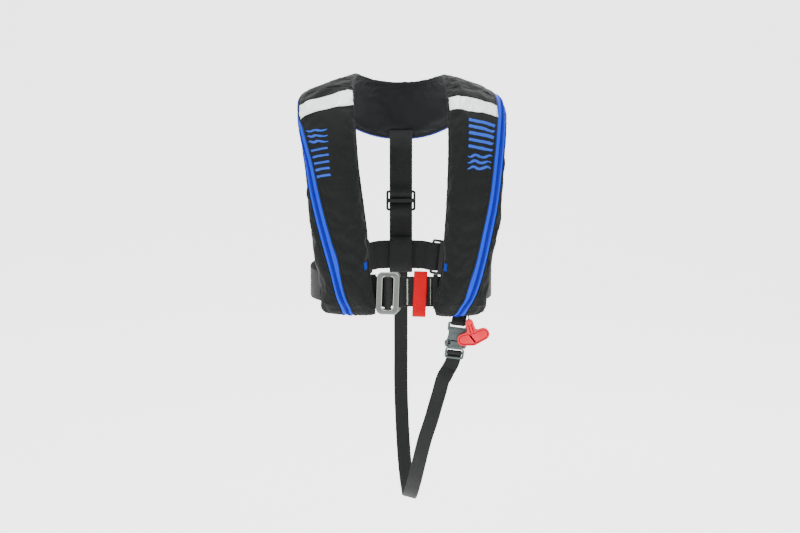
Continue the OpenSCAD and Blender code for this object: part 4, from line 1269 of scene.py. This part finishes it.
def on_frame(c, X, Z):
    X, Z = np.asarray(X, float), np.asarray(Z, float)
    Y = np.cross(Z, X)
    return mat4([[X[i], Y[i], Z[i]] for i in range(3)], list(c))


MX = Matrix.Diagonal((-1, 1, 1, 1))
t_side = lambda c, X, Z: [float(v) for v in c]
mir_c = [-adj_c[0], adj_c[1], adj_c[2]]
mir_t = np.array([-adj_t[0], adj_t[1], adj_t[2]])
mir_n = np.array([-adj_n[0], adj_n[1], adj_n[2]])
join("belt_slides", [(triglide_mesh(50), on_frame(adj_c, adj_t, -adj_n)), (triglide_mesh(50), on_frame(mir_c, mir_t, -mir_n))], DARK, ROOT, ["belt_adjusters"], 40)

# ------------------------------------------------------------------ red lifting loop
lx = 31.0
loop_pts = [[lx - 1.4, -115.2, bz - 39], [lx - 0.7, -115.6, bz - 22], [lx, -115.7, bz - 5], [lx + 0.7, -115.6, bz + 12], [lx + 1.4, -115.4, bz + 29],
            [lx + 1.5, -114.4, bz + 31.4], [lx + 1.6, -111.6, bz + 32.6], [lx + 1.5, -106, bz + 32.2], [lx + 1.4, -104.6, bz + 30],
            [lx + 0.5, -104.2, bz + 7], [lx - 0.5, -104.1, bz - 15], [lx - 1.4, -104.4, bz - 37], [lx - 1.5, -105.4, bz - 39.6], [lx - 1.6, -108, bz - 41], [lx - 1.5, -113, bz - 41]]
web("red_lifting_loop", loop_pts, [1, 0, -0.04], 22, WT, body="lifting_loop", closed=True, mat=RED_WEB, reps=["lifting_loop"], step=1.0, rib=2.0)
zz = np.array([bz - 30, bz - 26.5, bz + 20, bz + 23.5])
A, B = [], []
for z in zz:
    for x in np.arange(-9, 9, 2.1):
        A.append([lx + (z - bz) * 0.04 + x, -116.62, z])
        B.append([lx + (z - bz) * 0.04 + x + 1.5, -116.62, z - 0.06])
capsules("red_loop_stitches", A, B, np.tile([[0.0, -1, 0]], (len(A), 1)), 0.22, THREAD_RED, "lifting_loop")

# ------------------------------------------------------------------ back strap
by = 118.5
bc = [0, by, -172.0]
web("back_strap_web", [[0, 102, -46.6], [0, 106.4, -54.6], [0, 110.7, -61.4], [0, 113.6, -66.5], [0, 116.6, -72], [0, 118.2, -78], [0, by, -86], [0, by, -120], [0, by, -146]] + thread(bc, np.array([0, 0, -1.0]), np.array([0, 1.0, 0]))
    + [[0, by - 0.4, -199], [0, by - 0.8, -225], [0, 116.4, -245], [0, 115.6, -262], [0, 115, -285], [0, 114, -294], [0, 111, -297.6],
       [0, 107.6, -296.6], [0, 106, -292], [0, 106, -262], [0, 106.2, -245], [0, 107.5, -238.4], [0, 110.6, -236.8]], X1, 40, WT, reps=["back_strap"])
join("back_strap_slide", [(triglide_mesh(40), on_frame(bc, [0, 0, -1], [0, 1, 0]))], DARK, ROOT, ["back_strap_adjuster"], 40)


def box_stitch(name, cx, y, cz, w, h, mat, body=ROOT, n=(0, 1, 0), pitch=2.6, reps=()):
    """Square of stitches with a cross inside, in the plane y."""
    segs = [((-w, -h), (w, -h)), ((w, -h), (w, h)), ((w, h), (-w, h)), ((-w, h), (-w, -h)), ((-w, -h), (w, h)), ((w, -h), (-w, h))]
    A, B = [], []
    for p, q in segs:
        p, q = np.array(p) / 2, np.array(q) / 2
        d = np.linalg.norm(q - p)
        k = int(d / pitch)
        for i in range(k):
            a = p + (q - p) * (i + 0.15) / k
            b = p + (q - p) * (i + 0.8) / k
            A.append([cx + a[0], y, cz + a[1]])
            B.append([cx + b[0], y, cz + b[1]])
    o = capsules(name, A, B, np.tile([n], (len(A), 1)).astype(float), 0.2, mat, body)
    if reps:
        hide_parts(*reps)
    return o


box_stitch("back_strap_stitches", 0, by + 0.95, -98, 32, 22, THREAD_LIGHT, reps=["strap_stitching"])
box_stitch("crotch_anchor_stitches", 0, 119.5, -264, 17, 20, THREAD_LIGHT)

# ------------------------------------------------------------------ crotch strap and its clip
cc = np.array([91.5, -104.0, -380.0])
CR = math.radians(7.0)
CX = np.array([math.cos(CR), 0, -math.sin(CR)])
CY = np.array([0, 1.0, 0])
CZ = np.array([math.sin(CR), 0, math.cos(CR)])


def to_clip(p):
    return (cc + CX * p[0] + CY * p[1] + CZ * p[2]).tolist()


def clip_plate(z=0.0):
    """Plate drawn across and along the clip, facing the viewer: local z is the clip's -y."""
    return mat4([[CX[i], CZ[i], -CY[i]] for i in range(3)], to_clip([0, -z, 0]))


CW = 24.0
web("crotch_tab_web", [to_clip(p) for p in [[3.4, 7.4, 55], [2.2, 5.6, 46], [0.6, 3.6, 35], [0, 3.1, 30.5]] + arc([0, 0, 27], 3.1, [0, 1, 0], [0, 0, 1], -10, -170, 7) + [[0, -3.1, 30.5], [0.8, -1.2, 36], [2.2, 3, 46], [3.4, 4.9, 55]]],
    CX, CW - 1, WT, reps=["crotch_tab"], step=1.0)
SOCK = outline([(-14, -1), (14, -1), (14, 14), (16.4, 14.5), (16.4, 27.8), (12.6, 27.8), (12.6, 20.2), (-12.6, 20.2), (-12.6, 27.8), (-16.4, 27.8), (-16.4, 14.5), (-14, 14)],
               [3, 3, 1.5, 1.5, 1.8, 1.4, 0.8, 0.8, 1.4, 1.8, 1.5, 1.5], 6)
socket = join("clip_socket_body", [
    (plate_mesh([SOCK], 1.9, 0.8, 3), clip_plate(4.0)),
    (plate_mesh([SOCK], 1.9, 0.8, 3), clip_plate(-4.0)),
    (plate_mesh([outline([(-16.3, 15), (16.3, 15), (16.3, 27.7), (12.7, 27.7), (12.7, 20.3), (-12.7, 20.3), (-12.7, 27.7), (-16.3, 27.7)], [1, 1, 1.8, 1.2, 0.6, 0.6, 1.2, 1.8], 5)], 6.6, 0.3, 1), clip_plate(0)),
    (plate_mesh([rrect(-12.5, 11.6, 2.8, 7.4, 0.8, 3)], 6.6, 0.3, 1), clip_plate(0)),
    (plate_mesh([rrect(12.5, 11.6, 2.8, 7.4, 0.8, 3)], 6.6, 0.3, 1), clip_plate(0)),
    (plate_mesh([outline([(-9, 4), (9, 4), (7.5, 11), (-7.5, 11)], 1.5, 4)], 1.2, 0.5, 2), clip_plate(4.9)),
    (plate_mesh([rrect(0, 17.4, 24, 1.0, 0.45, 4)], 0.8, 0.3, 2), clip_plate(5.1)),
    (rod_mesh(to_clip([-13, 0, 27]), to_clip([13, 0, 27]), 2.0, 16, 0.3), Matrix.Identity(4)),
], CLIP, ROOT, ["clip_socket"], 40)
plug = join("clip_plug_body", [
    (plate_mesh([outline([(-12, -16.6), (12, -16.6), (12, -9.4), (9, -8.4), (9, -2.6), (-9, -2.6), (-9, -8.4), (-12, -9.4)], [1, 1, 1.5, 0.5, 1.5, 1.5, 0.5, 1.5], 5)], 7.8, 1.2, 4), clip_plate(0)),
    (plate_mesh([rrect(0, -23.8, 32, 17.6, 4.5, 8), rrect(0, -22.8, 25, 13.0, 1.6, 5)], 6.0, 0.9, 4), clip_plate(0)),
    (plate_mesh([outline([(-14.6, -15), (14.6, -15), (14.6, -1.3), (-14.6, -1.3)], [1.5, 1.5, 1, 1], 4)], 0.9, 0.3, 2), clip_plate(-3.2)),
    (plate_mesh([outline([(-2, -4), (2, -4), (2, 10.4), (-2, 10.4)], [0.3, 0.3, 1.6, 1.6], 4)], 4.7, 0.7, 3), clip_plate(0)),
    (rod_mesh(to_clip([-13, 0, -22]), to_clip([13, 0, -22]), 1.9, 16, 0.3), Matrix.Identity(4)),
    (plate_mesh([outline([(-6, -14.6), (6, -14.6), (5, -11), (-5, -11)], 0.8, 3)], 1.0, 0.4, 2), clip_plate(4.1)),
], CLIP, "crotch_clip", ["clip_plug"], 40)
PR = [(13.2, -14.4), (15.6, -14.6), (17.4, -11.9), (18.3, -9.6), (18.2, -4.0), (15.6, -2.0), (13.8, 7.0), (10.4, 7.6), (8.2, 12.2), (7.3, 11.9), (8.4, 4.0), (12.9, -1.6), (12.9, -12)]
PRR = [1.2, 1.2, 1, 1.5, 1.8, 1.5, 1.2, 0.8, 0.4, 0.4, 1.5, 1.5, 1]


def prong(sign):
    ribs = []
    pts = PR if sign > 0 else [(-x, y) for x, y in PR][::-1]
    rad = PRR if sign > 0 else PRR[::-1]
    parts = [(plate_mesh([outline(pts, rad, 4)], 5.2, 0.8, 3), clip_plate(0))]
    for i in range(4):
        a = to_clip([sign * 18.1, -1.9, -9.6 + i * 1.7])
        b = to_clip([sign * 18.1, 1.9, -9.6 + i * 1.7])
        parts.append((rod_mesh(a, b, 0.55, 10, 0.2), Matrix.Identity(4)))
    return parts


join("clip_prong_r", prong(1), CLIP, "clip_prong_right", ["clip_prong_right"], 40)
join("clip_prong_l", prong(-1), CLIP, "clip_prong_left", ["clip_prong_left"], 40)

CF = [[73, -103, -440], [63, -104, -472], [51, -105, -514], [40, -101, -550], [30, -88, -594], [22, -66, -634], [16, -38, -662], [13.5, -14, -672], [13, 0, -673.1]]
CB = [[13, 0, -673.1], [12, 22, -669], [9, 52, -652], [5, 84, -612], [2, 106, -560], [0, 118, -500], [0, 122, -440], [0, 121, -390], [0, 119.4, -350]]
web("crotch_strap_loop", [to_clip(p) for p in [[-5.6, 5.4, -52], [-2.4, 5.8, -44], [-0.4, 5.4, -36], [0, 4.7, -28.6], [0, -1, -25.4]] + arc([0, 0, -22], 3.1, [0, 1, 0], [0, 0, 1], 205, 30, 7)
    + [[0, 6.2, -25], [0, 7.6, -29.4], [-0.4, 7.9, -36], [-2.4, 8.4, -44], [-5.6, 8.2, -52], [-9, 7.8, -62], [-12, 7.4, -70]]], CX, CW, WT, body="crotch_clip", reps=["crotch_strap"], step=1.0)
front = web("crotch_strap_front", [to_clip([-5, 5.5, -50.5])] + CF, [0.96, 0, -0.27], CW, WT, body=None, reps=["crotch_strap"])
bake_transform(front)
web("crotch_strap_back", CB + [[0, 118.8, -320], [0, 118.4, -290], [0, 118.6, -250]], [[0.96, 0, -0.27], [0.963, 0, -0.24], [0.98, 0, -0.16], [0.995, 0, -0.07]] + [[1, 0, 0]] * 8, CW, WT, reps=["crotch_strap_rear"])

# ------------------------------------------------------------------ pull handle and its cord
eye = [111.9, -113.4, -347.8]
HA = math.radians(-17.0)
HX = [math.cos(HA), 0, -math.sin(HA)]
HZ = [math.sin(HA), 0, math.cos(HA)]


def handle_plate(z):
    return mat4([[HX[i], HZ[i], [0, -1, 0][i]] for i in range(3)], [eye[0], eye[1] - z, eye[2]])


def half_circle(cx, cy, r, a0, a1, k=20):
    return [np.array([cx + r * math.cos(math.radians(a0 + (a1 - a0) * i / k)), cy + r * math.sin(math.radians(a0 + (a1 - a0) * i / k))]) for i in range(k + 1)]


def kidney(d, stem=True, seat=False):
    """Outline of the handle, moved inwards by d; with or without its stem and the cord's seat in it."""
    left = half_circle(-17.4, -27.3, 10 - d, 97, 246, 24)
    low = half_circle(-2.2, -28.9, 12.8 - d, 250, 284, 8)
    right = half_circle(16.8, -27.5, 10.2 - d, -68, 88, 26)
    if stem:
        top = [np.array(p) for p in [(11.4, -17.8), (8.8, -16.9), (7.3, -14.7), (6.75, -11.5)]]
        if seat:
            top += half_circle(0, -3.5, 6.7, 0, 48, 8) + [np.array(p) for p in [(1.9, -2.0), (-1.8, -2.0)]] + half_circle(0, -3.5, 6.7, 118, 180, 8)
        else:
            top += half_circle(0, -3.5, 6.7, 0, 180, 20)
        top += [np.array(p) for p in [(-6.7, -11.5), (-7.2, -14.5), (-9.0, -16.5), (-12.2, -17.2)]]
    else:
        top = [np.array(p) for p in [(7.8, -17.7 - d), (6.4, -18.7 - d), (-6.6, -18.7 - d), (-8.6, -17.7 - d)]]
    return left + low + right + top


slots = [rrect(-2.5, -12.4, 1.5, 14.0, 0.7, 4), rrect(2.5, -12.4, 1.5, 14.0, 0.7, 4)]
cut = [np.array(p) for p in [(-6.2, -22.6), (-4.5, -22.2), (1.6, -38.4), (-0.2, -38.2)]]
handle = join("red_pull_handle", [
    (plate_mesh([kidney(0.1, seat=True)], 3.0, 0.3, 2), handle_plate(0)),
    (plate_mesh([kidney(0.0), kidney(2.1, False)] + slots, 1.7, 0.6, 4), handle_plate(2.2)),
    (plate_mesh([kidney(0.0), kidney(2.1, False)] + slots, 1.7, 0.6, 4), handle_plate(-2.2)),
    (plate_mesh([kidney(3.7, False), cut], 4.9, 0.4, 3), handle_plate(0)),
] + [(plate_mesh([rrect(x, y, w, 1.3, 0.6, 4)], 5.5, 0.25, 2), handle_plate(0)) for x, y, w in [(-15.6, -24.6, 9), (-15.8, -27.6, 12), (-15.2, -30.6, 8), (12.6, -24.2, 11), (13.2, -27.4, 13), (12.4, -30.6, 9)]],
    RED, "pull_handle", ["pull_handle"], 40)
cord_pts = [[108.6, -117, -304.6], [109.4, -114.6, -306], [110.8, -111.8, -308.6], [111.4, -110.9, -313], [111.8, -110.8, -319], [111.9, -110.8, -325], [111.9, -110.8, -331],
            [111.9, -110.8, -336.6], [111.9, -111, -340.2], [111.9, -112.7, -342.8], [111.9, -113.35, -344.8], [111.9, -113.4, -348.2]]
cord_o = tube("pull_cord_braid", cord_pts, 1.0, CORD, "pull_cord", 12, ["pull_cord"], 0.6)
cl, _ = spline(cord_pts, 0.6)
# ------------------------------------------------------------------ zip slider and puller


def at_frame(s, o=(0, 0, 0)):
    X = wide(s)
    Y = -face(s)
    Z = np.cross(X, Y)
    c = mid(s) + X * o[0] + Y * o[1] + Z * o[2]
    return X, Y, Z, c


zs_ = 13.2
zX, zY, zZ, zC = at_frame(zs_)
zC = zC + zX * (float(half(zs_)[0]) + 0.4) - zY * 2.2
ca, sa, cb, sb = math.cos(math.radians(10.3)), math.sin(math.radians(10.3)), math.cos(math.radians(-8.3)), math.sin(math.radians(-8.3))
turn = np.array([[cb, sa * sb, ca * sb], [0, ca, -sa], [-sb, sa * cb, ca * cb]])
old = np.stack([zX, zY, zZ], 1)
zX, zY, zZ = (old @ turn).T


def zip_plate(z):
    """Plate drawn across (y) and along (z) the zip, facing out along x."""
    return mat4([[zY[i], zZ[i], zX[i]] for i in range(3)], (zC + zX * z).tolist())


slider_out = outline([(-4.4, -5.6), (4.4, -5.6), (3.6, 0.5), (4.0, 5.8), (-4.0, 5.8), (-3.6, 0.5)], [2, 2, 2, 1.6, 1.6, 2], 6)
join("zip_slider_body", [
    (plate_mesh([slider_out], 1.5, 0.5, 3), zip_plate(3.9)),
    (plate_mesh([rrect(-4.0, 0, 1.0, 11.0, 0.4, 3)], 2.6, 0.3, 2), zip_plate(2.6)),
    (plate_mesh([rrect(4.0, 0, 1.0, 11.0, 0.4, 3)], 2.6, 0.3, 2), zip_plate(2.6)),
    (plate_mesh([rrect(0, -3, 5.4, 3.0, 1.2, 4), circle(0, -3, 0.95, 16)], 1.8, 0.3, 2), mat4([[zZ[i], zX[i], zY[i]] for i in range(3)], (zC + zX * 7.0 + zZ * 0.0).tolist())),
    (plate_mesh([rrect(0, 0, 4.2, 7.5, 1.2, 4)], 1.4, 0.5, 2), zip_plate(5.2)),
], DARK, "zip_slider", ["zip_slider"], 40)
pc = zC + zX * 7.4 - zZ * 3.0
pull_frame = mat4([[zX[i], zY[i], zZ[i]] for i in range(3)], pc.tolist())
join("zip_puller_tag", [
    (rod_mesh((pc - zY * 5.0).tolist(), (pc + zY * 5.0).tolist(), 0.8, 14, 0.2), Matrix.Identity(4)),
    (plate_mesh([outline([(-1, -5.2), (10.4, -5.2), (10.4, 5.2), (-1, 5.2)], [0.8, 1.6, 1.6, 0.8], 4), rrect(3.2, 0, 8.2, 7.2, 0.8, 4)], 2.0, 0.6, 3), pull_frame),
    (plate_mesh([outline([(9.6, -4), (30.4, -4), (30.4, 4), (9.6, 4)], [1.5, 3.2, 3.2, 1.5], 6), rrect(25.2, 0, 4.2, 2.6, 1.2, 4)], 2.8, 0.8, 3), pull_frame),
    (plate_mesh([rrect(16.5, 0, 8.0, 4.6, 1.4, 4)], 3.3, 0.4, 2), pull_frame),
], DARK, "zip_puller", ["zip_puller"], 40)

# ------------------------------------------------------------------ folded air bladder
FRONT = [[0.6, 0], [1, 1], [6.5, 1], [8, 10], [9.5, 8], [11, 5], [12.5, 7], [15, 9], [17.5, 7], [19, 5], [20.5, 8], [22, 11], [22.6, 6], [23.4, -11.6], [24.5, -12.8], [26, -12.8], [28, -11.2], [28.6, -9.5]]
WIDTH = [[0, 0.95], [8.6, 0.88], [10.7, 0.6], [12.6, 0.82], [19, 0.88], [21, 0.95], [22.4, 0.95], [23.4, 0.6], [30, 0.6]]
BLADDER = weave("bladder_fabric", (0.9, 0.42, 0.015), 0.6, 0.6, 0.05, 0, 0.42, 0.1, 0.1, 1.1, coarse=0.4)


def bladder():
    n_s, n_q = 240, 72
    S = np.linspace(0.7, 28.5, n_s)
    hi = np.interp(S, [p[0] for p in FRONT], [p[1] for p in FRONT])
    lo = -(0.85 * at_key(KT, S)[:, 0] - 3.6)
    c, h = (hi + lo) / 2, (hi - lo) / 2
    wf = np.interp(S, [p[0] for p in WIDTH], [p[1] for p in WIDTH])
    q = np.arange(n_q) * 2 * math.pi / n_q
    fold = 1 - 0.10 * np.abs(np.sin(1.5 * q[None] + 0.4 + 0.6 * vnoise(S / 2.3, S * 0, 77)[:, None])) ** 6
    wr = 1 - 0.05 * (0.5 + 0.5 * vnoise(along(S)[:, None] / 14.0 + 0 * q[None], q[None] * 1.7 + 0 * S[:, None], 78))
    k = fold * wr * 0.985
    P = mid(S)[:, None] + wide(S)[:, None] * (pw(np.cos(q))[None] * ((half(S)[:, 0] - 10) * wf)[:, None] * k)[..., None] + face(S)[:, None] * (c[:, None] + pw(np.sin(q))[None] * h[:, None] * k)[..., None]
    V = P.reshape(-1, 3)
    F = []
    for i in range(n_s - 1):
        for j in range(n_q):
            m = (j + 1) % n_q
            F.append((i * n_q + j, (i + 1) * n_q + j, (i + 1) * n_q + m, i * n_q + m))
    F.append(tuple(range(n_q)))
    F.append(tuple(reversed(range((n_s - 1) * n_q, n_s * n_q))))
    L = along(S)
    uv = np.stack([np.repeat(L[:, None], n_q, 1), np.repeat((q * 30)[None], n_s, 0)], -1).reshape(-1, 2) * MM
    o = make("folded_bladder", V, F, BLADDER, ROOT, uv, ["air_bladder"], sharp=60)
    fix_normals(o)
    return o


bladder()

# ------------------------------------------------------------------ hard parts inside the cover keep their own shapes
INNER = {
    # convex edges painted lighter: painted edge highlight
    "inflator_body": moulded("inflator_moulding", (0.02, 0.02, 0.022), 0.45, 0.03, edge_highlight=0.4),
    "inflator_cap": moulded("inflator_cap_moulding", (0.7, 0.7, 0.64), 0.4, 0.02),
    "inflator_lever": moulded("inflator_lever_moulding", (0.75, 0.02, 0.03), 0.35, 0.02),
    "lever_pin": STEEL,
    "gas_cylinder": metal("cylinder_zinc", (0.4, 0.41, 0.42), 0.38, 0.03, 0.4),
    "manifold_nut": metal("nut_brass", (0.75, 0.5, 0.2), 0.3, 0.02, 0.3),
    "oral_tube": moulded("tube_rubber_black", (0.02, 0.02, 0.02), 0.65, 0.05),
    "oral_valve": moulded("valve_yellow", (0.8, 0.55, 0.03), 0.35, 0.01),
    "oral_dust_cap": moulded("dust_cap_red", (0.75, 0.02, 0.03), 0.4, 0.02),
    "whistle": moulded("whistle_orange", (0.9, 0.2, 0.01), 0.32, 0.015),
}
for n, m in INNER.items():
    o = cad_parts[n]
    o.data.materials.clear()
    o.data.materials.append(m)
    bv = o.modifiers.new("Bevel", "BEVEL")
    bv.width = 0.0004
    bv.segments = 3
    bv.limit_method = "ANGLE"
    bv.angle_limit = math.radians(35)

# ------------------------------------------------------------------ setting
fm, fnt, fb = new_mat("studio_floor")
tcn = node(fnt, "ShaderNodeTexCoord")
nn_ = noise_tex(fnt, tcn.outputs["Object"], 3, 2, 0.5)
fnt.links.new(mix_col(fnt, nn_, (0.82, 0.82, 0.82), (0.78, 0.78, 0.78)), fb.inputs["Base Color"])
fb.inputs["Roughness"].default_value = 0.9
fb.inputs["Emission Color"].default_value = (1, 1, 1, 1)
fb.inputs["Emission Strength"].default_value = 1.8
floor_me = bpy.data.meshes.new("studio_floor")
FV = []
n_f = 40
for i in range(n_f + 1):
    t = i / n_f
    if t < 0.5:
        y, z = -6 + t * 2 * 8.0, -0.95
    else:
        a = (t - 0.5) * 2 * math.pi / 2
        y, z = 2.0 + 2.5 * math.sin(a), -0.95 + 2.5 * (1 - math.cos(a))
    FV += [(-9, y, z), (9, y, z)]
FV += [(-9, 4.5, 8), (9, 4.5, 8)]
floor_me.from_pydata(FV, [], [(2 * i, 2 * i + 1, 2 * i + 3, 2 * i + 2) for i in range(n_f + 1)])
floor_me.polygons.foreach_set("use_smooth", [True] * len(floor_me.polygons))
floor = bpy.data.objects.new("studio_floor", floor_me)
bpy.context.scene.collection.objects.link(floor)
floor.data.materials.append(fm)

w = bpy.data.worlds.new("studio")
bpy.context.scene.world = w
w.use_nodes = True
w.node_tree.nodes["Background"].inputs[0].default_value = (1, 1, 1, 1)
w.node_tree.nodes["Background"].inputs[1].default_value = 1.1


def area(name, loc, look, size, power, colour=(1, 1, 1)):
    l = bpy.data.lights.new(name, "AREA")
    l.shape = "RECTANGLE"
    l.size, l.size_y = size
    l.energy = power
    l.color = colour
    o = bpy.data.objects.new(name, l)
    o.location = loc
    o.rotation_euler = (Vector(look) - Vector(loc)).to_track_quat("-Z", "Y").to_euler()
    bpy.context.scene.collection.objects.link(o)
    return o


area("key", (-1.5, -2.4, 1.9), (0, 0, -0.25), (1.3, 1.3), 72)
area("fill", (2.2, -2.6, 0.5), (0, 0, -0.3), (1.8, 1.8), 34)
area("top", (0, 0.0, 2.3), (0, 0, -0.2), (2.0, 1.6), 80)
area("rim", (0.6, 2.2, 0.8), (0, 0, -0.2), (1.6, 1.2), 20)
